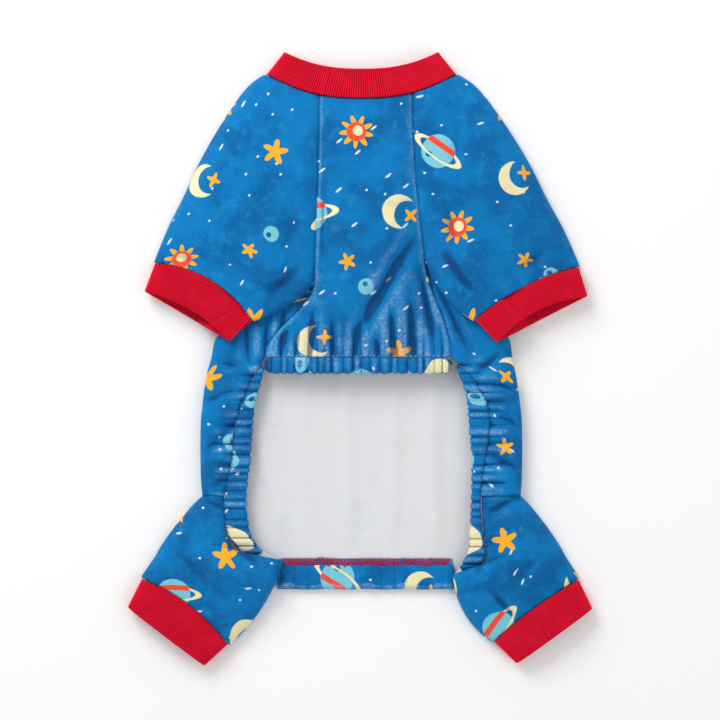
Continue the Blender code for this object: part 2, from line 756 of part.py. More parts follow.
def make_sleeve(name, side):
    shoulder, armpit, cuff_outer, cuff_inner = sleeve_points(side)
    start = np.array([CHEST_HALF_WIDTH[side], collar_seam_y(CHEST_HALF_WIDTH[side])])
    back_up = -across_from(cuff_outer, cuff_inner, armpit)

    def ground(share, x, y):
        return underarm_ground(side, share, x, y)

    def loft(share):
        full = mix(COLLAR_LOFT - FLEECE, SLEEVE_LOFT, smooth_step(share / 0.45))
        return mix(full, CUFF_LOFT - FLEECE / 2, smooth_step((share - 0.72) / 0.28))

    def bend(share, s):
        """The upper layer follows the sagging collar seam and the bowed cuff seam."""
        x = mix(shoulder[0], start[0], s)
        sag = collar_seam_y(x) - mix(shoulder[1], start[1], s) - GROOVE_GAP / 2 * math.sin(math.pi * s)
        bow = CUFF_SEAM_BOW[side] * 4 * s * (1 - s) * smooth_step((share - 0.6) / 0.4)
        return np.array([0.0, sag * max(0.0, 1 - share / 0.3)]) + back_up * bow

    limb(name, side, sleeve_rows(side), ground, loft, bend, SLEEVE_CREASES, (SLEEVE_DROP[side], SLEEVE_WIDTH))


def leg_points(side):
    """Hip, crotch and the two corners of the cuff seam, in plan."""
    hip = np.array([outline_x(side, HIP_DOWN), -HIP_DOWN - GROOVE_GAP])
    crotch = np.array([CROTCH_OUT[side], -CROTCH_DOWN[side]])
    inner = np.array([INSEAM_OUT[side], -INSEAM_DOWN[side]])
    outer = np.array([LEG_REACH[side], hip[1] - LEG_DROP[side]])
    return hip, crotch, outer, inner


def leg_ground(side, share, x, y):
    """Height of a leg's lower layer, which climbs onto the hem near the crotch."""
    beyond = max(0.0, -y - BODY_LENGTH)
    depth = hip_x(side, -y) - abs(x) - TAIL_FALL * beyond
    near = smooth_step(LEG_LEAD + depth / LEG_RAMP)
    near *= smooth_step((share / CROTCH_SHARE - 0.30) / 0.36)
    return mix(FLEECE / 2, hem_top(), near)


def leg_rows(side):
    hip, crotch, cuff_outer, cuff_inner = leg_points(side)
    swell = across_from(crotch, cuff_inner, cuff_outer) * INSEAM_BOW[side]
    shares = [CROTCH_SHARE * t for t in (0.0, 0.14, 0.30, 0.46, 0.62, 0.76, 0.90, 1.0)]
    shares += [0.62, 0.72, 0.82, 0.91, 1.0]
    rows = []
    for share in shares:
        x = mix(hip[0], cuff_outer[0], through(LEG_EDGE, "out", share))
        outer = np.array([x, mix(hip[1], cuff_outer[1], share)])
        if share < CROTCH_SHARE - 1e-6:
            t = share / CROTCH_SHARE
            x = FLANK_HALF_WIDTH * through(HAUNCH, column(side), t) + GROOVE_GAP / 2
            y = -BODY_LENGTH * through(HAUNCH, column(side) + "_down", t) - GROOVE_GAP
            low_down = mix(HIP_DOWN + GROOVE_GAP, CROTCH_DOWN[side] - CROTCH_TUCK, t)
            lower = np.array([hip_x(side, low_down) + SEAM_GAP, -low_down])
            lower = lower + (crotch - lower) * smooth_step((t - 0.70) / 0.30)
            low = leg_ground(side, share, *lower)
            top = mix(lip_height(side, -y), crotch_height(), smooth_step((t - 0.6) / 0.4))
            rows.append(LimbRow(share, outer, np.array([x, y]), lower, top, low, False))
        else:
            t = (share - CROTCH_SHARE) / (1 - CROTCH_SHARE)
            inner = bowed(crotch, cuff_inner, t, swell)
            low = leg_ground(side, share, *inner)
            rows.append(LimbRow(share, outer, inner, inner, low + FOLD_HEIGHT, low, True))
    return rows


def make_leg(name, side):
    hip, crotch, cuff_outer, cuff_inner = leg_points(side)
    back_up = -across_from(cuff_outer, cuff_inner, crotch)

    def ground(share, x, y):
        return leg_ground(side, share, x, y)

    def loft(share):
        full = mix(FLANK_LOFT, LEG_LOFT, smooth_step(share / 0.5))
        return mix(full, HIND_CUFF_LOFT - FLEECE / 2, smooth_step((share - 0.70) / 0.30))

    def bend(share, s):
        bow = HIND_CUFF_SEAM_BOW[side] * 4 * s * (1 - s)
        return back_up * bow * smooth_step((share - 0.6) / 0.4)

    limb(name, side, leg_rows(side), ground, loft, bend, LEG_CREASES, (LEG_LENGTH, LEG_WIDTH))


def make_cuff(name, side, outer, inner, outward, depth, tapers, loft, bow, lip, ground):
    """A doubled rib cuff: a flattened tube whose upper wall starts on the bowed seam
    and ends a little short of the lower one. ground lifts it off what lies below."""
    along = unit(inner - outer)
    outer, inner = outer + along * CUFF_INSET, inner - along * CUFF_INSET
    steps = 10
    rise = (loft - RIB_KNIT) / 2
    rings = []
    for share in (0.0, 0.5, 1.0):
        start = outer + along * tapers[0] * share
        end = inner - along * tapers[1] * share
        ring = []
        for k in range(2 * steps):
            turn = math.pi * k / steps
            s = (1 - math.copysign(abs(math.cos(turn)) ** 0.84, math.cos(turn))) / 2
            power = 0.80 if k < steps else 0.45
            up = math.copysign(abs(math.sin(turn)) ** power, math.sin(turn))
            swell = 4 * s * (1 - s)
            reach = SEAM_GAP + (depth - SEAM_GAP) * share
            if up > 0:
                reach -= (bow * (1 - share) + lip * share) * swell
            spot = start + (end - start) * s + outward * reach
            lifted = ground(*spot) - FLEECE / 2
            height = max(rise * 2 - lifted, 2 * RIB_KNIT) / 2
            ring.append((side * spot[0], spot[1], RIB_KNIT / 2 + lifted + height * (1 + up)))
        rings.append(ring)
    sheet(name, rings, "rib", RIB_KNIT, wrapped_from=0)


def make_front_cuff(name, side):
    shoulder, armpit, outer, inner = sleeve_points(side)
    outward = across_from(outer, inner, armpit)
    tapers = (CUFF_TAPER_OUTER, CUFF_TAPER_INNER)
    bow, lip = CUFF_SEAM_BOW[side], CUFF_LIP[side]

    def ground(x, y):
        return underarm_ground(side, 1.0, x, y)

    make_cuff(name, side, outer, inner, outward, CUFF_DEPTH, tapers, CUFF_LOFT, bow, lip, ground)


def make_hind_cuff(name, side):
    hip, crotch, outer, inner = leg_points(side)
    outward = across_from(outer, inner, crotch)
    tapers = (HIND_CUFF_TAPER, HIND_CUFF_TAPER)
    bow = HIND_CUFF_SEAM_BOW[side]

    def ground(x, y):
        return FLEECE / 2

    make_cuff(
        name, side, outer, inner, outward, HIND_CUFF_DEPTH, tapers, HIND_CUFF_LOFT, bow, 0.0, ground
    )


def centre_footprint():
    """Move all pieces together so that the middle of the footprint is the origin."""
    bpy.context.view_layer.update()
    graph = bpy.context.evaluated_depsgraph_get()
    low, high = np.full(3, 9.0), np.full(3, -9.0)
    for obj in bpy.data.objects:
        corners = np.array([tuple(corner) for corner in obj.evaluated_get(graph).bound_box])
        low, high = np.minimum(low, corners.min(axis=0)), np.maximum(high, corners.max(axis=0))
    for obj in bpy.data.objects:
        for vertex in obj.data.vertices:
            vertex.co.x -= (low[0] + high[0]) / 2
            vertex.co.y -= (low[1] + high[1]) / 2


def build():
    for obj in list(bpy.data.objects):
        bpy.data.objects.remove(obj)
    make_collar()
    make_belly()
    make_back()
    make_belly_casing()
    make_hem()
    for label, side in SIDES.items():
        make_side_casing("side_casing_" + label, side)
        make_sleeve("sleeve_" + label, side)
        make_front_cuff("front_cuff_" + label, side)
        make_leg("leg_" + label, side)
        make_hind_cuff("rear_cuff_" + label, side)
    centre_footprint()


build()
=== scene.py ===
# Dog jumpsuit of printed fleece with rib knit collar and cuffs, lying flat on its back.
# Everything is drawn down from the middle of the collar seam, in metres, then moved
# onto the frame. Side -1 is at low X and side +1 at high X.
import math

import bmesh
import bpy
import numpy as np
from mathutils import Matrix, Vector, noise


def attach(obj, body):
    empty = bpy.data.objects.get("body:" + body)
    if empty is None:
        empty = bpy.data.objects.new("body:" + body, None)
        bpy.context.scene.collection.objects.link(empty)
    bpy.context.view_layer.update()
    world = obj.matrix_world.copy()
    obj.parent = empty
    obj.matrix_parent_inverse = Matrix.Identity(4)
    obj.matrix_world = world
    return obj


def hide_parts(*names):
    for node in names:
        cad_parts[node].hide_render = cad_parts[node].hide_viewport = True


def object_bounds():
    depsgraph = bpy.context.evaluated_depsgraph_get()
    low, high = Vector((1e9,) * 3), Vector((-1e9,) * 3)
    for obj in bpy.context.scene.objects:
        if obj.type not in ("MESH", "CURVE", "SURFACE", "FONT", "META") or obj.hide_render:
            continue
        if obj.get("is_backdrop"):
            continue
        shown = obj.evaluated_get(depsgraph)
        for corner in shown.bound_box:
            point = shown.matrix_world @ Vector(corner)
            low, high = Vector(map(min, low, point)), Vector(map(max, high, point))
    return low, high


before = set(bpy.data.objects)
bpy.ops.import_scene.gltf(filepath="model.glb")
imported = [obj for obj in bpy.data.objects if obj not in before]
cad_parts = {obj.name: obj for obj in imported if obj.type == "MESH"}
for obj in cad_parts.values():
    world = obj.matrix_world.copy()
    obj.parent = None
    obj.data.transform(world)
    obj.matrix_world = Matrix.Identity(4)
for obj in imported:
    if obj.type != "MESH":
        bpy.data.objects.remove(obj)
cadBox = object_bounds()
print("frame loaded:", len(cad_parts), "nodes")

moveX, moveY = 0.00099, 0.19328  # from the collar seam to the frame's origin
mm = 0.001

cloth = {
    "fleece": 0.0016,  # wall of the fleece, its pile included
    "rib": 0.0022,
    # how round the tubes are: across, then their upper and lower halves
    "round": (0.84, 0.80, 0.45),
    "seamGap": 0.0002,
    "layerGap": 0.0008,
    # soft lumps: width in metres, height in millimetres and seed
    "bellyLumps": ((0.032, 1.6, 4.0), (0.012, 0.45, 9.0)),
    "backLumps": ((0.026, 1.3, 13.0), (0.011, 0.5, 17.0)),
    "limbLumps": ((0.030, 1.5, 0.0), (0.012, 0.5, 3.0)),
    "grooveGap": 0.0003,
    "seamDip": 0.0013, "seamReach": 0.0016,  # how far both panels turn down into a seam
    "ribLift": 0.0005,  # the ribs keep a tube's wall this far off the floor
    "foldHeight": 0.0042,
}

body = {
    "length": 0.3650,
    "armpitDown": {-1: 0.1372, 1: 0.1178},
    "waistDown": 0.1920,
    "hipDown": 0.2955,
    "chestHalf": {-1: 0.0315, 1: 0.0383},
    "armpitHalf": {-1: 0.0353, 1: 0.0473},
    "flankHalf": 0.1193,
    "hipInset": 0.0100,
    "tailHalf": {-1: 0.0640, 1: 0.0700},
    "narrowestWing": 0.0080,
    "turnShare": 0.45,  # most of a flank's width that its turned edge may take
    "chestLoft": 0.0290,
    "flankLoft": 0.0140,
    # share of the length down, then shares of flankHalf out: left and right
    "outline": (
        (0.322, 0.296, 0.397), (0.345, 0.296, 0.540), (0.376, 0.296, 0.670),
        (0.388, 0.440, 0.712), (0.410, 0.600, 0.775), (0.440, 0.760, 0.840),
        (0.468, 0.860, 0.890), (0.495, 0.912, 0.925), (0.526, 0.932, 0.940),
        (0.563, 0.962, 0.962), (0.604, 0.982, 0.982), (0.665, 1.000, 1.000),
        (0.768, 1.000, 1.000), (0.810, 0.990, 0.992),
    ),
    "armpitShare": 0.70,
    # share down the belly, then shares of chestLoft: along the middle and the seams
    "loft": (
        (0.00, 0.55, 0.52), (0.15, 0.76, 0.72), (0.35, 0.97, 0.86), (0.50, 1.00, 0.78),
        (0.60, 0.99, 0.60), (0.70, 0.94, 0.44), (0.88, 0.76, 0.47), (1.00, 0.64, 0.50),
    ),
}


def smoothStep(t):
    t = min(1.0, max(0.0, t))
    return t * t * (3 - 2 * t)


def mix(a, b, t):
    return a + (b - a) * t


def unit(way):
    return way / np.linalg.norm(way)


def curveThrough(rows, k, at):
    # smooth curve through column k of a table, over its first column
    at = min(rows[-1][0], max(rows[0][0], at))
    i = 0
    while i < len(rows) - 2 and rows[i + 1][0] <= at:
        i += 1

    def slope(n):
        low, high = max(0, n - 1), min(len(rows) - 1, n + 1)
        return (rows[high][k] - rows[low][k]) / (rows[high][0] - rows[low][0])

    span = rows[i + 1][0] - rows[i][0]
    t = (at - rows[i][0]) / span
    return (
        rows[i][k] * (1 + 2 * t) * (1 - t) ** 2 + slope(i) * span * t * (1 - t) ** 2
        + rows[i + 1][k] * t * t * (3 - 2 * t) - slope(i + 1) * span * t * t * (1 - t)
    )


# plan and heights of the body, the same as the frame's own


def collarSeamY(x):
    return collar["seamDip"] * min(1.0, abs(x) / (collar["seamWidth"] / 2)) ** collar["curve"]


def outlineX(side, down):
    k = 1 if side < 0 else 2
    return body["flankHalf"] * curveThrough(body["outline"], k, down / body["length"])


def casingX(side, down, edge):
    # edge 0 is the one along the opening and 1 the one along the flank
    k = (1 if side < 0 else 3) + edge
    return body["flankHalf"] * curveThrough(casing["edges"], k, down / body["length"])


def bellyX(side, down):
    armpit = body["armpitDown"][side]
    if down < armpit:
        share = max(0.0, down / armpit)
        return mix(body["chestHalf"][side], body["armpitHalf"][side], share**1.8)
    share = min(1.0, (down - armpit) / (body["waistDown"] - armpit))
    waist = casingX(side, body["waistDown"], 0)
    return mix(body["armpitHalf"][side], waist, math.sin(share * math.pi / 2) ** 1.9)


def lipX(side, down):
    return bellyX(side, down) if down <= body["waistDown"] else casingX(side, down, 1)


def seamHeight(side, down):
    armpit = body["armpitDown"][side]
    if down < armpit:
        share = body["armpitShare"] * max(0.0, down) / armpit
    else:
        share = mix(body["armpitShare"], 1.0, (down - armpit) / (body["waistDown"] - armpit))
    return body["chestLoft"] * curveThrough(body["loft"], 2, share)


def flankHeight(side, down):
    grown = smoothStep((down - body["armpitDown"][side]) / 0.055)
    return (body["flankLoft"] - 1 * mm) * mix(0.50, 1.0, grown)


def lipHeight(side, down):
    if down <= body["waistDown"]:
        near = smoothStep((down - body["armpitDown"][side]) / 0.03)
        return mix(flankHeight(side, body["armpitDown"][side]), seamHeight(side, down), near)
    low = (body["flankLoft"] - 1 * mm) * 0.86
    atHip = smoothStep((down - body["hipDown"]) / 0.045)
    low = mix(low, hem["top"] + cloth["foldHeight"] + 1 * mm, atHip)
    below = smoothStep((down - body["waistDown"]) / 0.03)
    return mix(seamHeight(side, body["waistDown"]), low, below)


def flankSurface(side, x, down):
    fold = outlineX(side, down)
    lip = min(lipX(side, down) + cloth["grooveGap"] / 2, fold - body["narrowestWing"])
    inward = min(1.0, max(0.0, (fold - abs(x)) / (fold - lip)))
    return mix(flankHeight(side, down), lipHeight(side, down), inward)


def hipX(side, down):
    share = min(1.0, max(0.0, (down - body["hipDown"]) / (body["length"] - body["hipDown"])))
    start = outlineX(side, body["hipDown"]) - body["hipInset"]
    return mix(start, body["tailHalf"][side], mix(share, smoothStep(share), 0.4))


# folds of the cloth, each from one point to another, in millimetres from the middle
# of the collar seam: x0, y0, x1, y1, half-width, depth
foldLines = (
    (-31, -70, -27, -122, 6.5, 2.2), (36, -106, -2, -174, 6.5, 3.6),
    (-58, -158, -60, -196, 3.6, 3.0), (-36, -160, -38, -196, 3.4, 2.8),
    (-46, -170, -47, -196, 2.6, 1.8), (-22, -166, -20, -196, 3.0, 2.0),
    (-3, -168, -5, -198, 3.2, 2.8), (10, -174, 12, -198, 2.6, 1.8),
    (22, -158, 25, -198, 3.2, 2.6), (36, -150, 39, -198, 3.4, 2.8),
    (46, -128, 54, -186, 3.8, 3.0), (58, -156, 62, -196, 3.0, 2.2),
    (52, -130, 80, -188, 4.6, 2.6), (-86, -168, -84, -198, 4.0, 2.0),
    (-70, -166, -73, -196, 3.2, 2.2),
    (-45, -74, -58, -118, 9.0, 1.4), (60, -70, 70, -120, 8.0, 1.6),
    (53, -106, 84, -146, 5.5, 2.4), (-42, -122, -72, -148, 6.5, 2.2),
    (-98, -60, -112, -112, 12.0, 1.2), (104, -40, 122, -104, 12.0, 1.2),
    (-116, -299, -76, -316, 4.2, 2.6), (-108, -316, -72, -352, 5.0, 2.2),
    (-135, -344, -92, -376, 7.0, 1.4), (-146, -330, -118, -352, 5.0, 1.4),
    (116, -297, 90, -310, 4.2, 2.6), (100, -318, 84, -356, 5.0, 2.0),
    (136, -334, 104, -372, 7.0, 1.6), (92, -362, 116, -388, 3.6, 1.6),
    (-116, -262, -92, -240, 4.4, 2.4), (-117, -226, -94, -216, 4.0, 1.8),
    (-110, -288, -90, -276, 4.0, 2.2), (-106, -196, -80, -204, 4.0, 1.8),
    (117, -244, 94, -230, 4.4, 2.2), (117, -276, 92, -262, 4.6, 2.4),
    (114, -216, 96, -212, 3.6, 1.6), (104, -188, 84, -206, 4.0, 1.8),
    (-133, -30, -112, -46, 6.0, 1.0), (-84, -20, -92, -62, 8.0, 1.0),
    (74, -8, 66, -52, 7.0, 1.0), (138, -112, 116, -128, 5.0, 1.4),
    (-142, -112, -124, -122, 5.0, 1.4),
)


def nearFold(x, y, x0, y0, x1, y1):
    # share of the way along a fold and distance from it, for arrays of plan points
    a, way = np.array([x0, y0]) * mm, np.array([x1 - x0, y1 - y0]) * mm
    t = np.clip(((x - a[0]) * way[0] + (y - a[1]) * way[1]) / (way @ way), 0, 1)
    return t, np.hypot(x - a[0] - way[0] * t, y - a[1] - way[1] * t)


def foldDrop(x, y):
    # how far the folds lower the cloth at plan points, as arrays in metres
    drop = np.zeros_like(x)
    for x0, y0, x1, y1, width, depth in foldLines:
        t, gap = nearFold(x, y, x0, y0, x1, y1)
        hollow = np.exp(-((gap / (width * mm)) ** 2))
        drop += depth * mm * hollow * np.sin(math.pi * (0.1 + 0.8 * t))
    return drop * 1.25


def lumpsOf(x, y, lumps, first=0.0):
    # how far cloth that nobody smoothed stands up or down, in metres
    out = np.zeros_like(x)
    for size, height, seed in lumps:
        for index in np.ndindex(x.shape):
            place = Vector((x[index] / size, y[index] / size, first + seed))
            out[index] += noise.noise(place) * height * mm
    return out


def crestOf(z, reach):
    # how far each point of a relief stands above its neighbours, in millimetres
    total = np.zeros_like(z)
    for dr in range(-reach, reach + 1):
        for dc in range(-reach, reach + 1):
            rows = np.clip(np.arange(z.shape[0]) + dr, 0, z.shape[0] - 1)
            columns = np.clip(np.arange(z.shape[1]) + dc, 0, z.shape[1] - 1)
            total += z[np.ix_(rows, columns)]
    return (z - total / (2 * reach + 1) ** 2) / mm


def newPiece(name, points, faces, uvs=None, crest=None):
    # a smooth mesh moved onto the frame, with its flat pattern as the UV map "cloth",
    # in metres, and its relief as the attribute "crest"
    mesh = bpy.data.meshes.new(name)
    mesh.from_pydata([tuple(p) for p in np.array(points) + (moveX, moveY, 0.0)], [], faces)
    if uvs is not None:
        layer = mesh.uv_layers.new(name="cloth")
        layer.data.foreach_set("uv", np.array(uvs, dtype=np.float32).ravel())
        value = mesh.attributes.new("crest", "FLOAT", "POINT")
        if crest is not None:
            value.data.foreach_set("value", crest.astype(np.float32))
    obj = bpy.data.objects.new(name, mesh)
    bpy.context.scene.collection.objects.link(obj)
    mesh.shade_smooth()
    return obj


def facedOutwards(obj, merge=0.0):
    # a closed piece with its doubled points merged and its faces turned outwards
    work = bmesh.new()
    work.from_mesh(obj.data)
    if merge:
        bmesh.ops.remove_doubles(work, verts=work.verts, dist=merge)
    bmesh.ops.recalc_face_normals(work, faces=work.faces)
    work.to_mesh(obj.data)
    work.free()
    obj.data.shade_smooth()
    return obj


def clothObject(name, grid, flat, wall, wrapFrom=None, shown=None, crest=None, top=slice(None)):
    # a sheet from a grid of points; flat has one more column than the grid where the
    # grid wraps round. The columns in top have their printed side up
    rows, columns = grid.shape[:2]
    if shown is None:
        shown = np.ones((rows, columns), bool)
    index = -np.ones((rows, columns), int)
    index[shown] = np.arange(shown.sum())
    faces, uvs = [], []
    side = np.cross(np.diff(grid, axis=1)[:-1, top], np.diff(grid, axis=0)[:, :-1][:, top])[..., 2]
    order = 1 if (side * shown[:-1, :-1][:, top]).sum() > 0 else -1
    for r in range(rows - 1):
        wraps = wrapFrom is not None and r >= wrapFrom
        for c in range(columns if wraps else columns - 1):
            n = (c + 1) % columns
            quad = [index[r, c], index[r, n], index[r + 1, n], index[r + 1, c]]
            if min(quad) >= 0:
                faces.append([int(q) for q in quad][::order])
                uvs += [flat[r, c], flat[r, c + 1], flat[r + 1, c + 1], flat[r + 1, c]][::order]
    obj = newPiece(name, grid[shown], faces, uvs, None if crest is None else crest[shown])
    if wall:
        shell = obj.modifiers.new("wall", "SOLIDIFY")
        shell.thickness = wall
        shell.offset = 0.0
    return obj


def threadMesh(name, lines, radius, sides=5):
    # thin tubes along some lines of points, all in one mesh
    points, faces = [], []
    for line in lines:
        line = [np.array(p, float) for p in line]
        first = len(points)
        for k, p in enumerate(line):
            way = unit(line[min(k + 1, len(line) - 1)] - line[max(k - 1, 0)])
            square = np.cross(way, (0.0, 0.0, 1.0))
            upright = np.linalg.norm(square) <= 1e-6
            square = np.array([1.0, 0.0, 0.0]) if upright else unit(square)
            up = np.cross(square, way)
            thin = 0.55 if k in (0, len(line) - 1) else 1.0
            for n in range(sides):
                turn = 2 * math.pi * n / sides
                points.append(p + (square * math.cos(turn) + up * math.sin(turn)) * radius * thin)
        for k in range(len(line) - 1):
            for n in range(sides):
                a, b = first + k * sides + n, first + k * sides + (n + 1) % sides
                faces.append([a, b, b + sides, a + sides])
        last = first + (len(line) - 1) * sides
        faces += [[first + n for n in reversed(range(sides))], [last + n for n in range(sides)]]
    return facedOutwards(newPiece(name, points, faces))


def finishPiece(obj, nodes, slot, material, inside=None):
    # a sheet's print is on the side that its faces look to, and the wall's other
    # side takes the second material
    obj.data.materials.append(material)
    if inside is not None:
        obj.data.materials.append(inside)
        obj.modifiers["wall"].material_offset = 1
    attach(obj, "root")
    if nodes:
        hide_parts(*nodes)
    return obj


casing = {
    "depth": 0.0122, "thickness": 0.0046,
    # distance and height of the gathers, and how far and over what length both wander
    "pitch": 0.0068, "gather": 0.0012,
    "drift": (0.0140, 3.6), "unevenness": (0.0085, 0.95),
    # where the side casings start and end, as shares of the body's length
    "start": 0.5415, "end": {-1: 0.936, 1: 0.968},
    "tuck": 0.0045,  # how far a side casing's end goes down under the leg
    "past": 0.0008,  # how far the belly casing reaches past the panel
    "waistSeed": 3.0, "sideSeed": 11.0,
    # share down, then shares of flankHalf: left inner and outer, right inner and outer
    "edges": (
        (0.526, 0.600, 0.603, 0.560, 0.563), (0.541, 0.601, 0.630, 0.575, 0.612),
        (0.566, 0.610, 0.675, 0.606, 0.688), (0.593, 0.632, 0.717, 0.640, 0.742),
        (0.620, 0.655, 0.750, 0.654, 0.786), (0.669, 0.672, 0.795, 0.667, 0.805),
        (0.739, 0.686, 0.813, 0.682, 0.774), (0.776, 0.702, 0.832, 0.682, 0.757),
        (0.819, 0.711, 0.862, 0.679, 0.748), (0.869, 0.698, 0.845, 0.673, 0.755),
        (0.895, 0.676, 0.826, 0.669, 0.765), (0.922, 0.620, 0.765, 0.662, 0.776),
        (0.962, 0.560, 0.690, 0.600, 0.735),
    ),
}

# gathers: the cloth rises and falls along an elastic, unevenly


def gatherWave(along, seed):
    # rounded ridges with narrow valleys, from -1 to 1, for places along an elastic
    (over, drift), (between, uneven) = casing["drift"], casing["unevenness"]
    phase = 2 * math.pi * along / casing["pitch"]
    phase += noise.noise(Vector((along / over, seed, 0.0))) * drift
    height = 0.72 + uneven * noise.noise(Vector((along / between, seed, 7.0)))
    return (2 * abs(math.sin(phase / 2)) ** 0.8 - 1) * height


def seamDip(apart):
    # how far cloth turns down at some distances from its seam
    return cloth["seamDip"] * np.exp(-((apart / cloth["seamReach"]) ** 2))


def bellyHeight(side, across, share, down):
    seam = mix(seamHeight(-1, down), seamHeight(1, down), (1 + across) / 2)
    middle = body["chestLoft"] * curveThrough(body["loft"], 1, share)
    return seam + (middle - seam) * (1 - abs(across) ** 2.2)


def waistHeight(x):
    # height of the belly panel on its stitch line, folds included
    side = -1 if x < 0 else 1
    across = max(-1.0, min(1.0, x / casingX(side, body["waistDown"], 0)))
    z = bellyHeight(side, across, 1.0, body["waistDown"])
    fade = smoothStep((1 - abs(across)) * 7)
    drop = foldDrop(np.array([x]), np.array([-body["waistDown"]]))[0]
    return z - drop * fade * 0.8


def waistRipple(x, across):
    # the belly panel's gathers where its elastic holds it, none at its two ends
    wave = gatherWave(x, casing["waistSeed"]) * casing["gather"]
    return wave * smoothStep((1 - abs(across)) * 9)


def makeBelly():
    rows, columns = 130, 150
    grid = np.zeros((rows + 1, columns + 1, 3))
    fade = np.zeros((rows + 1, columns + 1))
    smooth = np.zeros((rows + 1, columns + 1))
    for r in range(rows + 1):
        share = (r / rows) ** 0.95
        for c in range(columns + 1):
            across = 2 * c / columns - 1
            side = -1 if across < 0 else 1
            start = collarSeamY(across * body["chestHalf"][side]) - cloth["seamGap"] / 2
            y = mix(start, cloth["seamGap"] / 2 - body["waistDown"], share)
            x = across * (bellyX(side, -y) - cloth["grooveGap"] / 2)
            z = bellyHeight(side, across, share, -y)
            smooth[r, c] = z
            near = max(0.0, 1 - (body["waistDown"] + y) / 0.034) ** 1.5
            grid[r, c] = x, y, z + waistRipple(x, across) * near
            fade[r, c] = smoothStep((1 - abs(across)) * 7) * smoothStep(share * 8)
    x, y = grid[..., 0], grid[..., 1]
    grid[..., 2] -= seamDip(np.abs(x - x[:, :1])) + seamDip(np.abs(x - x[:, -1:]))
    grid[..., 2] -= foldDrop(x, y) * fade
    grid[..., 2] += lumpsOf(x, y, cloth["bellyLumps"]) * fade
    flat = np.stack([x, y], axis=2)
    crest = crestOf(grid[..., 2] - smooth, 8)
    for edge in (slice(0, 1), slice(-1, None)):
        apart = np.abs(x - x[:, edge])
        # a pale ridge beside each seam, painted only in colour: a highlight and rubbed pile on the
        # seam's ridge
        crest += 0.55 * np.exp(-(((apart - 1.7 * mm) / (0.7 * mm)) ** 2))
    return clothObject("belly-panel", grid, flat, cloth["fleece"], crest=crest)


def flankWing(side, down, turned, spread):
    # plan and height of a flank, from its fold over to its edge, and its relief
    fold = outlineX(side, down)
    lip = min(lipX(side, down) + cloth["grooveGap"] / 2, fold - body["narrowestWing"])
    top = flankHeight(side, down)
    radius = min(top / 2, (fold - lip) * body["turnShare"])
    low = cloth["fleece"] / 2
    wing, relief = [], [0.0] * (turned + spread)
    for k in range(1, turned + 1):
        turn = math.pi * k / turned
        wing.append((side * (fold - radius + radius * math.sin(turn)), -down,
                     low + (top - low) * (1 - math.cos(turn)) / 2))
    gathered = smoothStep((down - body["waistDown"]) / 0.010)
    fine = gatherWave(down, casing["sideSeed"] + side)
    broad = gatherWave(down * 0.45, 21.0 + side)
    for k in range(1, spread + 1):
        t = k / spread
        x = mix(fold - radius, lip, t)
        z = mix(top, lipHeight(side, down), t)
        apart = x - lip
        z -= seamDip(apart)
        ripple = fine * 1.3 * math.exp(-apart / 0.010) + broad * 2.0 * math.exp(-apart / 0.020)
        rise = ripple * mm * gathered * min(1.0, t * 3)
        wing.append((side * x, -down, z + rise))
        relief[turned + k - 1] = rise
    return wing, relief


def backHalf(side, down):
    if down < body["armpitDown"][side] - 1e-6:
        return bellyX(side, down) - cloth["seamGap"] / 2
    if down > body["hipDown"] + 1e-6:
        return hipX(side, down) - cloth["seamGap"] / 2
    fold = outlineX(side, down)
    wing = max(body["narrowestWing"], fold - lipX(side, down) - cloth["grooveGap"] / 2)
    return fold - min(flankHeight(side, down) / 2, wing * body["turnShare"])


# soft folds of the layer that lies on the floor: x0, y0, x1, y1, half-width, height
insideFolds = (
    (-78, -250, -54, -330, 5.0, 1.6), (-46, -200, -40, -340, 4.0, 1.3),
    (-14, -196, -8, -330, 5.0, 1.6), (26, -200, 22, -345, 4.5, 1.4),
    (52, -205, 56, -335, 5.0, 1.7), (-64, -208, -66, -240, 4.0, 1.2),
)


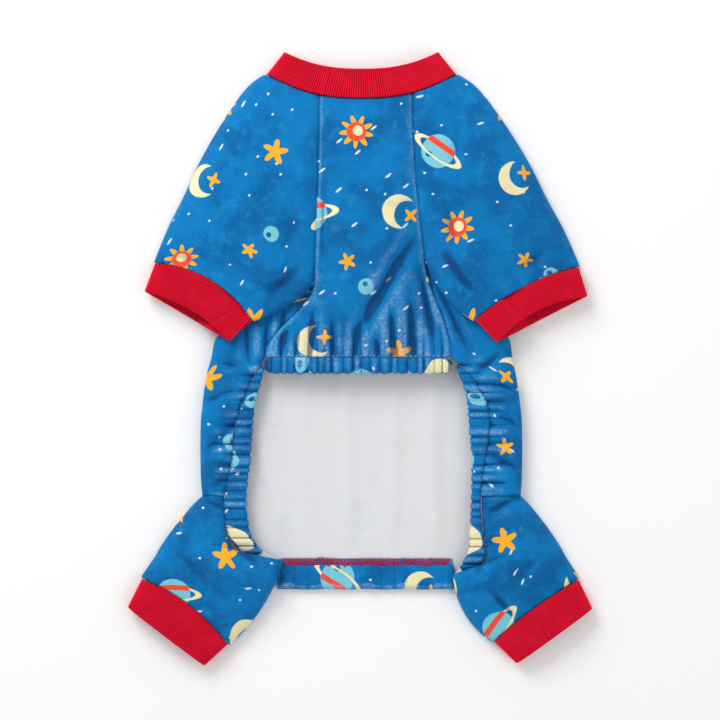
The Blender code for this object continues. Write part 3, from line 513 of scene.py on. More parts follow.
def makeBack():
    turned, spread, columns = 10, 26, 56
    downs = [body["armpitDown"][1] * k / 26 for k in range(26)]
    downs += [mix(body["armpitDown"][1], body["hipDown"], k / 150) for k in range(151)]
    downs += [mix(body["hipDown"], body["length"] - 1.2 * mm, k / 34) for k in range(1, 35)]
    downs = sorted(downs + [body["armpitDown"][-1]])
    steps = turned + spread
    grid = np.zeros((len(downs), 2 * steps + columns + 1, 3))
    shown, relief = np.ones(grid.shape[:2], bool), np.zeros(grid.shape[:2])
    for r, down in enumerate(downs):
        for side in (-1, 1):
            onFlank = body["armpitDown"][side] - 1e-6 <= down <= body["hipDown"] + 1e-6
            span = slice(0, steps) if side < 0 else slice(steps + columns + 1, None)
            if onFlank:
                wing, rise = flankWing(side, down, turned, spread)
                grid[r, span] = wing[::side]
                relief[r, span] = rise[::side]
            else:
                shown[r, span] = False
        for c in range(columns + 1):
            across = 2 * c / columns - 1
            side = -1 if across < 0 else 1
            x = across * backHalf(side, down)
            curve = collarSeamY(x) - cloth["seamGap"] / 2
            y = -down + curve * max(0.0, 1 - down / (0.3 * body["length"]))
            grid[r, steps + c] = x, y, cloth["fleece"] / 2
    middle = slice(steps, steps + columns + 1)
    lying = grid[:, middle]
    edge = np.clip((1 - np.abs(np.linspace(-1, 1, columns + 1))) * 8, 0, 1)
    for x0, y0, x1, y1, width, height in insideFolds:
        gap = nearFold(lying[..., 0], lying[..., 1], x0, y0, x1, y1)[1]
        tailward = np.clip((lying[..., 1] + body["length"] - 0.028) / 0.02, 0, 1)
        lying[..., 2] += height * mm * np.exp(-((gap / (width * mm)) ** 2)) * edge * tailward
    wings = grid[..., 2].copy()
    bumps = lumpsOf(grid[..., 0], grid[..., 1], cloth["backLumps"])
    fade = np.clip((wings - 5 * mm) / (5 * mm), 0, 1)
    drop = foldDrop(grid[..., 0], grid[..., 1]) * np.clip((wings - 7 * mm) / (4 * mm), 0, 1)
    grid[..., 2] += bumps * fade - drop
    relief -= drop
    steady = np.where(shown[..., None], grid, np.nan)
    steps3 = np.nan_to_num(np.linalg.norm(np.diff(steady, axis=1), axis=2))
    along = np.concatenate([np.zeros((len(downs), 1)), np.cumsum(steps3, axis=1)], axis=1)
    along -= along[:, steps + columns // 2][:, None]
    flat = np.stack([along + 0.31, grid[..., 1] + 0.07], axis=2)
    obj = clothObject("back-panel", grid, flat, cloth["fleece"], shown=shown,
                      crest=crestOf(relief, 4) * 0.9, top=slice(0, spread - 1))
    return obj


def ringBand(name, centres, ways, halfWidths, thicknesses, sides=16):
    # a closed gathered band through rings, with a fan over each end
    count = len(centres)
    turn = 2 * math.pi * np.arange(sides) / sides
    out = np.copysign(np.abs(np.cos(turn)) ** 0.75, np.cos(turn))
    up = np.copysign(np.abs(np.sin(turn)) ** 0.85, np.sin(turn))
    centres, ways = np.array(centres), np.array(ways)
    rings = np.repeat(centres[:, None], sides, axis=1)
    rings[..., :2] += ways[:, None] * (np.array(halfWidths)[:, None] * out)[..., None]
    rings[..., 2] += np.array(thicknesses)[:, None] / 2 * up
    length = np.concatenate([[0], np.cumsum(np.linalg.norm(np.diff(centres, axis=0), axis=1))])
    points = list(rings.reshape(-1, 3))
    faces, uvs = [], []
    girth = 2 * np.mean(halfWidths) * 2.3
    for r in range(count - 1):
        for k in range(sides):
            n = (k + 1) % sides
            faces.append([r * sides + k, r * sides + n, (r + 1) * sides + n, (r + 1) * sides + k])
            corners = ((r, k), (r, k + 1), (r + 1, k + 1), (r + 1, k))
            uvs += [(length[a], girth * b / sides) for a, b in corners]
    for r in (0, count - 1):
        points.append(np.mean(points[r * sides:(r + 1) * sides], axis=0))
        for k in range(sides):
            faces.append([r * sides + k, r * sides + (k + 1) % sides, len(points) - 1])
            uvs += [(length[r], girth * k / sides)] * 3
    # the gathers' relief as crest, from which the fleece paints shade in the thin places and
    # highlight on the thick ones
    wave = np.array(thicknesses) - np.mean(thicknesses)
    crest = np.concatenate([np.repeat(wave, sides), [0.0, 0.0]]) / mm
    return facedOutwards(newPiece(name, points, faces, np.array(uvs) + 0.17, crest))


def endShare(t, length):
    return mix(0.45, 1.0, smoothStep(min(t, 1 - t) * length / 0.005))


def casingBand(name, start, end, count, seed, way, placed):
    # a casing along its elastic; placed gives its middle and its half-width
    centres, widths, thicknesses = [], [], []
    for k in range(count + 1):
        at = mix(start, end, k / count)
        wave = gatherWave(at, seed)
        narrow = endShare(k / count, end - start)
        centre, half = placed(at, wave)
        centres.append(centre)
        widths.append(half * narrow)
        thicknesses.append(casing["thickness"] * narrow + casing["gather"] * wave)
    return ringBand(name, centres, [way] * (count + 1), widths, thicknesses)


def makeBellyCasing():
    def placed(x, wave):
        depth = casing["depth"] + casing["gather"] * 0.7 * wave
        y = -body["waistDown"] - cloth["seamGap"] / 2 - depth / 2
        return (x, y, waistHeight(x)), depth / 2

    left = -casingX(-1, body["waistDown"], 0) - casing["past"]
    right = casingX(1, body["waistDown"], 0) + casing["past"]
    return casingBand("belly-casing", left, right, 260, casing["waistSeed"], (0.0, 1.0), placed)


def makeSideCasing(name, side):
    start, end = casing["start"] * body["length"], casing["end"][side] * body["length"]

    def placed(down, wave):
        inner = casingX(side, down, 0) + cloth["seamGap"] + casing["gather"] * 0.7 * (1 - wave)
        outer = casingX(side, down, 1) - cloth["seamGap"] / 2
        tucked = casing["tuck"] * smoothStep((down - end + 0.013) / 0.011)
        centre = (side * (inner + outer) / 2, -down, lipHeight(side, down) - tucked)
        return centre, (outer - inner) / 2

    return casingBand(name, start, end, 240, casing["sideSeed"] + side, (1.0, 0.0), placed)


hem = {"depth": 0.0170, "top": 0.0075, "wave": 0.0017, "pitch": 0.0290}


def hemWave(x):
    # the hem rises and falls along its length
    return math.sin(2 * math.pi * x / hem["pitch"] + 0.8) * hem["wave"]


def makeHem():
    columns = 190
    top = cloth["fleece"] * 1.5 + cloth["layerGap"]
    # from the back panel round the fold and over: backwards, height and looseness
    profile = [(-1.4 * mm, 0.0, 0.0), (-0.4 * mm, 0.10, 0.0), (0.3 * mm, 0.5, 0.3),
               (-0.2 * mm, 0.9, 0.6)]
    profile += [(-hem["depth"] * t, 1.0, 1 - 0.6 * t) for t in np.linspace(0.08, 1.0, 22)]
    grid = np.zeros((len(profile), columns + 1, 3))
    for r, (back, lift, loose) in enumerate(profile):
        for c in range(columns + 1):
            across = 2 * c / columns - 1
            side = -1 if across < 0 else 1
            x = across * (hipX(side, body["length"]) - 1 * mm)
            wave = hemWave(x)
            pucker = (1 + gatherWave(x * 0.55, 31.0)) * 0.9 * mm * loose
            y = -body["length"] - back + wave * 0.5 * loose
            z = mix(cloth["fleece"] / 2 + 0.9 * mm, top, lift)
            z += max(0.0, wave) * loose + max(0.0, pucker)
            grid[r, c] = x, y, z
    flat = np.stack([grid[..., 0] + 0.05, grid[..., 1] * -1 + 0.2], axis=2)
    return clothObject("tail-hem", grid, flat, cloth["fleece"], crest=crestOf(grid[..., 2], 4))


# sleeves and legs


def acrossFrom(start, end, away):
    line = unit(end - start)
    square = np.array([-line[1], line[0]])
    return -square if np.dot(away - start, square) > 0 else square


def bowed(start, end, t, swell):
    return start + (end - start) * t + swell * 4 * t * (1 - t)


def makeLimb(name, side, rows, ground, loft, bend, shift, seed):
    # rows: share, plan of the outer fold, upper and lower inner edges, their heights
    # and whether the row is a closed tube
    upper, lower = 54, 30
    # steps as long as the wall at the outer fold, so that the wall doesn't cross itself
    easedUpper = [(k / upper) ** 1.25 for k in range(upper + 1)]
    easedLower = [(k / lower) ** 1.2 for k in range(lower + 1)]
    grid = np.zeros((len(rows), upper + 1 + lower, 3))
    inward = np.zeros(grid.shape[:2])
    firstClosed = next(r for r, row in enumerate(rows) if row[6])
    change = rows[firstClosed][0]
    for r, (share, outer, up, low, upHeight, lowHeight, closed) in enumerate(rows):
        line = []
        tubular = smoothStep((share - change * 0.80) / (change * 0.20 + 0.12))
        for k, s in enumerate(reversed(easedUpper)):
            spot = outer + (up - outer) * s
            floor = mix(ground(share, *spot), lowHeight, s**6)
            rounded = (1 - (1 - s) ** 2.4) ** (1 / 2.4)
            fall = s ** mix(1.6, 2.8, tubular)
            crown = (loft(share) - floor) * rounded * (1 - fall) ** mix(1.0, 1 / 2.2, tubular)
            z = floor + crown + (upHeight - floor) * fall
            if s < 1e-9:
                z = floor + cloth["fleece"] * 1.6
            spot = spot + bend(share, s)
            line.append((side * spot[0], spot[1], z))
            inward[r, k] = math.sin(math.pi * s) ** 0.5
        for s in easedLower[1:]:
            spot = outer + (low - outer) * s
            floor = mix(ground(share, *spot), lowHeight, s**6)
            line.append((side * spot[0], spot[1], floor + cloth["fleece"] * 1.6 * (1 - s) ** 12))
        grid[r] = line
    x, y = grid[..., 0], grid[..., 1]
    openRows = np.array([not row[6] for row in rows])[:, None]
    toEdge = np.linalg.norm(grid[..., :2] - grid[:, :1, :2], axis=2)
    toEdge[:, upper:] = 1.0
    grid[..., 2] -= seamDip(toEdge) * openRows
    relief = -foldDrop(x, y) * inward
    grid[..., 2] += relief
    grid[..., 2] += lumpsOf(x, y, cloth["limbLumps"], seed) * inward
    closing = np.concatenate([grid, grid[:, :1]], axis=1)
    steps = np.linalg.norm(np.diff(closing, axis=1), axis=2)
    along = np.concatenate([np.zeros((len(rows), 1)), np.cumsum(steps, axis=1)], axis=1)
    # the flat pattern: each row runs straight from its inner edge past the outer fold
    starts = grid[:, 0, :2]
    ways = grid[:, upper, :2] - starts
    ways /= np.linalg.norm(ways, axis=1)[:, None]
    flat = starts[:, None] + ways[:, None] * along[..., None]
    turn = shift[2]
    rotate = np.array([[math.cos(turn), -math.sin(turn)], [math.sin(turn), math.cos(turn)]])
    flat = flat @ rotate.T + np.array(shift[:2])
    return clothObject(name, grid, flat, cloth["fleece"], wrapFrom=firstClosed,
                       crest=crestOf(relief, 7) * 0.6, top=slice(2, upper - 4))


sleeve = {
    "shoulderStep": 0.0042,
    "reach": {-1: 0.1545, 1: 0.1628},
    "drop": {-1: 0.1395, 1: 0.1425},
    "loft": 0.0245, "cuffLoft": 0.0165,
    "innerOut": {-1: 0.0803, 1: 0.0833}, "innerDown": 0.1650,
    "bow": {-1: 0.0036, 1: 0.0055},
    "armhole": 0.70,
    # share down and share out of the outer fold
    "edge": (
        (0.000, 0.000), (0.043, 0.105), (0.128, 0.229), (0.300, 0.423),
        (0.470, 0.587), (0.640, 0.722), (0.810, 0.868), (1.000, 1.000),
    ),
}


def sleevePoints(side):
    shoulder = np.array([collar["seamWidth"] / 2 + sleeve["shoulderStep"], collar["seamDip"]])
    armpit = np.array([body["armpitHalf"][side] + cloth["grooveGap"], -body["armpitDown"][side]])
    inner = np.array([sleeve["innerOut"][side], -sleeve["innerDown"]])
    outer = np.array([sleeve["reach"][side], shoulder[1] - sleeve["drop"][side]])
    return shoulder, armpit, outer, inner


def underarmGround(side, share, x, y):
    depth = outlineX(side, -y) - abs(x)
    lifted = flankSurface(side, x, max(-y, body["armpitDown"][side])) + 1.8 * mm
    near = smoothStep(1.30 + depth / 0.024) * smoothStep((share / sleeve["armhole"] - 0.45) / 0.40)
    return cloth["fleece"] / 2 + lifted * near


def makeSleeve(name, side, seed):
    shoulder, armpit, outer, inner = sleevePoints(side)
    swell = acrossFrom(armpit, inner, outer) * sleeve["bow"][side]
    start = np.array([body["chestHalf"][side], collarSeamY(body["chestHalf"][side])])
    backUp = -acrossFrom(outer, inner, armpit)
    hole = sleeve["armhole"]
    shares = [hole * (k / 62) for k in range(63)] + [mix(hole, 1.0, k / 34) for k in range(1, 35)]
    rows = []
    for share in shares:
        down = share**0.92
        x = mix(shoulder[0], outer[0], curveThrough(sleeve["edge"], 1, down))
        fold = np.array([x, mix(shoulder[1], outer[1], down)])
        if share < hole - 1e-6:
            t = share / hole
            y = mix(collarSeamY(body["chestHalf"][side]) - cloth["grooveGap"] / 2, armpit[1], t)
            edge = np.array([bellyX(side, -y) + cloth["grooveGap"] / 2, y])
            top = seamHeight(side, -y)
            ground = underarmGround(side, share, *edge)
            low = mix(cloth["fleece"] / 2, ground, smoothStep((t - 0.8) / 0.2))
            rows.append((share, fold, edge, edge, top, low, False))
        else:
            t = (share - hole) / (1 - hole)
            edge = bowed(armpit, inner, t, swell)
            low = underarmGround(side, share, *edge)
            rows.append((share, fold, edge, edge, low + cloth["foldHeight"], low, True))

    def loft(share):
        full = mix(collar["loft"] - cloth["fleece"], sleeve["loft"], smoothStep(share / 0.45))
        nearCuff = smoothStep((share - 0.72) / 0.28)
        return mix(full, sleeve["cuffLoft"] - cloth["fleece"] / 2, nearCuff)

    def bend(share, s):
        x = mix(shoulder[0], start[0], s)
        sag = collarSeamY(x) - mix(shoulder[1], start[1], s)
        sag -= cloth["grooveGap"] / 2 * math.sin(math.pi * s)
        bow = frontCuff["bow"][side] * 4 * s * (1 - s) * smoothStep((share - 0.6) / 0.4)
        return np.array([0.0, sag * max(0.0, 1 - share / 0.3)]) + backUp * bow

    return makeLimb(name, side, rows, lambda share, x, y: underarmGround(side, share, x, y),
                    loft, bend, (0.900 + 0.331 * side, 0.417, 0.35 * side), seed)


leg = {
    "reach": {-1: 0.1643, 1: 0.1628},
    "drop": {-1: 0.0615, 1: 0.0623},
    "loft": 0.0215,
    "crotchOut": {-1: 0.0590, 1: 0.0690}, "crotchDown": {-1: 0.3440, 1: 0.3545},
    "innerOut": {-1: 0.0990, 1: 0.0983}, "innerDown": {-1: 0.4070, 1: 0.4050},
    "bow": {-1: 0.0055, 1: 0.0070},
    "beside": 0.52,
    "edge": (
        (0.000, 0.000), (0.130, 0.170), (0.380, 0.450), (0.620, 0.675),
        (0.750, 0.775), (1.000, 1.000),
    ),
    # share along, then left out and down, right out and down, of the upper edge
    "haunch": (
        (0.00, 0.866, 0.8096, 0.753, 0.8096), (0.30, 0.853, 0.860, 0.760, 0.862),
        (0.55, 0.832, 0.902, 0.778, 0.912), (0.74, 0.770, 0.933, 0.760, 0.956),
        (0.88, 0.620, 0.936, 0.670, 0.978), (1.00, 0.494, 0.9425, 0.579, 0.972),
    ),
}


def legPoints(side):
    hip = np.array([outlineX(side, body["hipDown"]), -body["hipDown"] - cloth["grooveGap"]])
    crotch = np.array([leg["crotchOut"][side], -leg["crotchDown"][side]])
    inner = np.array([leg["innerOut"][side], -leg["innerDown"][side]])
    outer = np.array([leg["reach"][side], hip[1] - leg["drop"][side]])
    return hip, crotch, outer, inner


def legGround(side, share, x, y):
    beyond = max(0.0, -y - body["length"])
    depth = hipX(side, -y) - abs(x) - 2 * beyond
    near = smoothStep(1.1 + depth / 0.014) * smoothStep((share / leg["beside"] - 0.30) / 0.36)
    return mix(cloth["fleece"] / 2, hem["top"], near)


def makeLeg(name, side, seed):
    hip, crotch, outer, inner = legPoints(side)
    swell = acrossFrom(crotch, inner, outer) * leg["bow"][side]
    backUp = -acrossFrom(outer, inner, crotch)
    beside = leg["beside"]
    shares = [beside * k / 48 for k in range(49)] + [mix(beside, 1.0, k / 34) for k in range(1, 35)]
    k = 1 if side < 0 else 3
    rows = []
    for share in shares:
        x = mix(hip[0], outer[0], curveThrough(leg["edge"], 1, share))
        fold = np.array([x, mix(hip[1], outer[1], share)])
        if share < beside - 1e-6:
            t = share / beside
            x = body["flankHalf"] * curveThrough(leg["haunch"], k, t) + cloth["grooveGap"] / 2
            y = -body["length"] * curveThrough(leg["haunch"], k + 1, t) - cloth["grooveGap"]
            lowDown = mix(body["hipDown"] + cloth["grooveGap"], leg["crotchDown"][side] - 0.006, t)
            lower = np.array([hipX(side, lowDown) + cloth["seamGap"], -lowDown])
            lower = lower + (crotch - lower) * smoothStep((t - 0.70) / 0.30)
            low = legGround(side, share, *lower)
            crotchTop = hem["top"] + cloth["foldHeight"]
            top = mix(lipHeight(side, -y), crotchTop, smoothStep((t - 0.6) / 0.4))
            rows.append((share, fold, np.array([x, y]), lower, top, low, False))
        else:
            t = (share - beside) / (1 - beside)
            edge = bowed(crotch, inner, t, swell)
            low = legGround(side, share, *edge)
            rows.append((share, fold, edge, edge, low + cloth["foldHeight"], low, True))

    def loft(share):
        full = mix(body["flankLoft"], leg["loft"], smoothStep(share / 0.5))
        return mix(full, hindCuff["loft"] - cloth["fleece"] / 2, smoothStep((share - 0.70) / 0.30))

    def bend(share, s):
        return backUp * hindCuff["bow"][side] * 4 * s * (1 - s) * smoothStep((share - 0.6) / 0.4)

    return makeLimb(name, side, rows, lambda share, x, y: legGround(side, share, x, y),
                    loft, bend, (0.610 + 0.223 * side, 0.905, -0.5 * side), seed)


# rib knit tubes


def ribTube(name, ringAt, ribs, ribDepth, wall, join):
    # a doubled rib: out along the outer wall, over the fold, and back inside. ringAt
    # gives one ring of the middle layer as an array of points, from seam to edge, and
    # join is the share of the way round at which the tube's own seam lies
    around = ribs * 8
    half = wall / 2
    profile = [(t, half, 1.0) for t in np.linspace(0.0, 1.0, 15)]
    profile += [(1.0, half * math.cos(a), 0.9) for a in np.linspace(0.3, math.pi - 0.3, 7)]
    profile += [(t, -half, 0.5) for t in np.linspace(1.0, 0.0, 11)]
    turn = np.linspace(0, 2 * math.pi * ribs, around, endpoint=False)
    rib = np.sin(turn)
    rib = np.copysign(np.abs(rib) ** 0.75, rib)
    rings, flats = [], []
    for share, offset, ribbed in profile:
        ring = ringAt(share)
        closed = np.concatenate([ring, ring[:1]])
        lengths = np.concatenate([[0], np.cumsum(np.linalg.norm(np.diff(closed, axis=0), axis=1))])
        at = np.linspace(0, lengths[-1], around, endpoint=False)
        even = np.stack([np.interp(at, lengths, closed[:, i]) for i in range(3)], axis=1)
        tangent = np.roll(even, -1, axis=0) - np.roll(even, 1, axis=0)
        ahead = ringAt(1.0).mean(axis=0) - ringAt(0.0).mean(axis=0)
        normal = np.cross(tangent, ahead)
        normal /= np.linalg.norm(normal, axis=1)[:, None]
        if (normal * (even - even.mean(axis=0))).sum() < 0:
            normal = -normal
        fold = math.sqrt(max(0.0, 1 - (offset / half) ** 2)) * half
        apart = np.abs(at - lengths[-1] * join)
        # its join: two low ridges beside a narrow groove
        groove = 0.25 * mm * np.exp(-(((apart - 1.9 * mm) / (1.0 * mm)) ** 2))
        groove -= 0.55 * mm * np.exp(-((apart / (0.6 * mm)) ** 2))
        out = rib * ribDepth * ribbed + groove * ribbed
        moved = even + normal * (offset + math.copysign(1, offset) * out)[:, None]
        moved += unit(ahead) * fold
        rings.append(moved)
        flats.append([(a, share * np.linalg.norm(ahead)) for a in np.append(at, lengths[-1])])
    grid = np.array(rings)
    grid = np.concatenate([grid, grid[:1]])
    flats.append([(a, -wall) for a, _ in flats[0]])
    # the rib's rise and fall as crest, from which the rib knit paints shade between the ribs and
    # highlight on them
    crest = np.repeat(rib[None], len(grid), axis=0)
    obj = clothObject(name, grid, np.array(flats), None, wrapFrom=0, crest=crest)
    return facedOutwards(obj, 1e-6)


collar = {
    "seamWidth": 0.1388, "edgeWidth": 0.1140, "depth": 0.0210,
    "seamDip": 0.0180, "edgeDip": 0.0128, "curve": 2.4, "loft": 0.0175,
    "ribs": 164, "ribDepth": 0.00042, "join": 0.34,
}


def makeCollar():
    def ringAt(share):
        half = mix(collar["seamWidth"], collar["edgeWidth"], share) / 2
        dip = mix(collar["seamDip"], collar["edgeDip"], share)
        rise = (mix(collar["loft"], collar["loft"] * 0.82, share) - cloth["rib"]) / 2
        turn = math.pi * np.arange(240) / 120
        aside, above, below = cloth["round"]
        across = np.copysign(np.abs(np.cos(turn)) ** aside, np.cos(turn))
        power = np.where(turn < math.pi, above, below)
        up = np.copysign(np.abs(np.sin(turn)) ** power, np.sin(turn))
        y = 0.6 * mm + collar["depth"] * share + dip * np.abs(across) ** collar["curve"]
        z = cloth["rib"] / 2 + cloth["ribLift"] + rise * (1 + up)
        return np.stack([half * across, y, z], axis=1)

    return ribTube("neck-collar", ringAt, collar["ribs"], collar["ribDepth"], cloth["rib"],
                   collar["join"])


frontCuff = {
    "depth": 0.0214, "inset": 0.0022, "taper": (0.0036, 0.0066),
    "bow": {-1: 0.0100, 1: 0.0055}, "lip": {-1: 0.0055, 1: 0.0070},
    "ribs": 106, "ribDepth": 0.00042, "join": {-1: 0.74, 1: 0.74},
}

hindCuff = {
    "depth": 0.0224, "inset": 0.0022, "taper": (0.0040, 0.0040),
    "bow": {-1: 0.0062, 1: 0.0030}, "lip": {-1: 0.0, 1: 0.0},
    "loft": 0.0150, "ribs": 96, "ribDepth": 0.00042, "join": {-1: 0.74, 1: 0.28},
}


def makeCuff(name, side, corners, away, shape, loft, ground):
    outer, inner = corners
    outward = acrossFrom(outer, inner, away)
    along = unit(inner - outer)
    outer, inner = outer + along * shape["inset"], inner - along * shape["inset"]
    rise = (loft - cloth["rib"]) / 2
    aside, above, below = cloth["round"]

    def ringAt(share):
        start = outer + along * shape["taper"][0] * share
        end = inner - along * shape["taper"][1] * share
        ring = []
        for k in range(200):
            turn = math.pi * k / 100
            s = (1 - math.copysign(abs(math.cos(turn)) ** aside, math.cos(turn))) / 2
            power = above if k < 100 else below
            up = math.copysign(abs(math.sin(turn)) ** power, math.sin(turn))
            swell = 4 * s * (1 - s)
            reach = cloth["seamGap"] + (shape["depth"] - cloth["seamGap"]) * share
            if up > 0:
                reach -= (shape["bow"][side] * (1 - share) + shape["lip"][side] * share) * swell
            spot = start + (end - start) * s + outward * reach
            lifted = ground(*spot)
            height = max(rise * 2 - lifted, 2 * cloth["rib"]) / 2
            z = cloth["rib"] / 2 + cloth["ribLift"] + lifted + height * (1 + up)
            ring.append((side * spot[0], spot[1], z))
        return np.array(ring)

    return ribTube(name, ringAt, shape["ribs"], shape["ribDepth"], cloth["rib"],
                   shape["join"][side])


# materials


def colour(code):
    # linear values of an sRGB hex colour
    parts = [int(code[i:i + 2], 16) / 255 for i in (1, 3, 5)]
    return [c / 12.92 if c <= 0.04045 else ((c + 0.055) / 1.055) ** 2.4 for c in parts] + [1.0]


def newMaterial(name, base, rough, sheen=0.0):
    # a material, the function that adds a node to it, and its shader
    material = bpy.data.materials.new(name)
    material.use_nodes = True
    tree = material.node_tree
    shader = tree.nodes["Principled BSDF"]
    shader.inputs["Base Color"].default_value = colour(base)
    shader.inputs["Roughness"].default_value = rough
    shader.inputs["Sheen Weight"].default_value = sheen
    shader.inputs["Sheen Tint"].default_value = colour(base)
    shader.inputs["Specular IOR Level"].default_value = 0.18

    def node(kind, *inputs, out=0, **settings):
        # inputs are sockets or values, in order or in one dictionary. A kind in
        # capitals is an operation of the maths node
        made = tree.nodes.new("ShaderNode" + ("Math" if kind.isupper() else kind))
        if kind.isupper():
            made.operation = kind
        for key, value in settings.items():
            setattr(made, key, value)
        byName = inputs and isinstance(inputs[0], dict)
        for socket, value in (inputs[0] if byName else dict(enumerate(inputs))).items():
            if isinstance(value, bpy.types.NodeSocket):
                tree.links.new(value, made.inputs[socket])
            else:
                made.inputs[socket].default_value = value
        return made.outputs[out]

    return material, node, shader


def layered(node, base, layers):
    # colours laid over a base one after another: value, where it starts and where it
    # is full, the most it covers, and the colour
    for value, start, full, most, code in layers:
        share = node("MapRange", value, start, full, 0.0, most, interpolation_type="SMOOTHSTEP")
        base = node("Mix", {0: share, 6: base, 7: colour(code)}, data_type="RGBA", out=2)
    return base


# width in millimetres, detail and roughness of each surface's grain. The real pile
# and stitches are finer, but wouldn't show
grain = {
    "patches": (29.41, 4.0, 0.55), "brushed": (8.333, 4.0, 0.65),
    "wearAndHighlight": (1.923, 3.0, 0.5), "pile": (0.6667, 2.0, 0.6),
    "ribTone": (16.67, 3.0, 0.5), "stitch": (0.4545, 2.0, 0.5),
    "fuzz": (1.4286, 3.0, 0.6), "insideTone": (23.81, 2.0, 0.5),
}


def grainsOf(node, *names):
    place = node("TexCoord", out="Object")
    for width, detail, rough in (grain[name] for name in names):
        yield node("TexNoise", {"Vector": place, "Scale": 1 / (width * mm), "Detail": detail,
                                "Roughness": rough})


def surfaced(node, shader, look, relief, strength, depth):
    # links the colour and the fine relief of a surface to its shader
    bump = node("Bump", {"Height": relief, "Strength": strength, "Distance": depth * mm})
    shader.id_data.links.new(look, shader.inputs["Base Color"])
    shader.id_data.links.new(bump, shader.inputs["Normal"])


# the print: one motif to a cell of half-drop rows, and a finer grid of specks
printed = {
    "cell": 0.062, "rowShare": 0.86,
    "edge": 0.00035,
    "wander": 0.0012, "wanderWidth": 0.01111,  # edges as uneven as if drawn by hand
    "dotCell": 0.0125, "dotShare": 0.20,
    "amber": "#FDB41E", "coral": "#F4532F", "aqua": "#7CCCDD", "cream": "#F5EBB5",
    "blue": "#0078BB", "deep": "#0063A2", "pale": "#128ECC", "white": "#E9F3F6",
    # discs and stars: kind of cell, colour, centre and radius in millimetres, then a
    # star's points and how sharp they are
    "motifs": (
        (1, "amber", 8.0, 4.0, 5.8, 4, 1.8), (2, "amber", 0.0, 0.0, 9.8, 5, 1.15),
        (3, "amber", 0.0, 0.0, 12.8, 9, 0.8), (3, "coral", 0.0, 0.0, 7.2),
        (3, "cream", 0.8, 1.0, 3.8), (4, "amber", -11.0, 5.0, 6.6, 5, 1.15),
        (4, "aqua", 10.0, -4.0, 5.8), (4, "deep", 8.5, -2.8, 2.0),
    ),
}


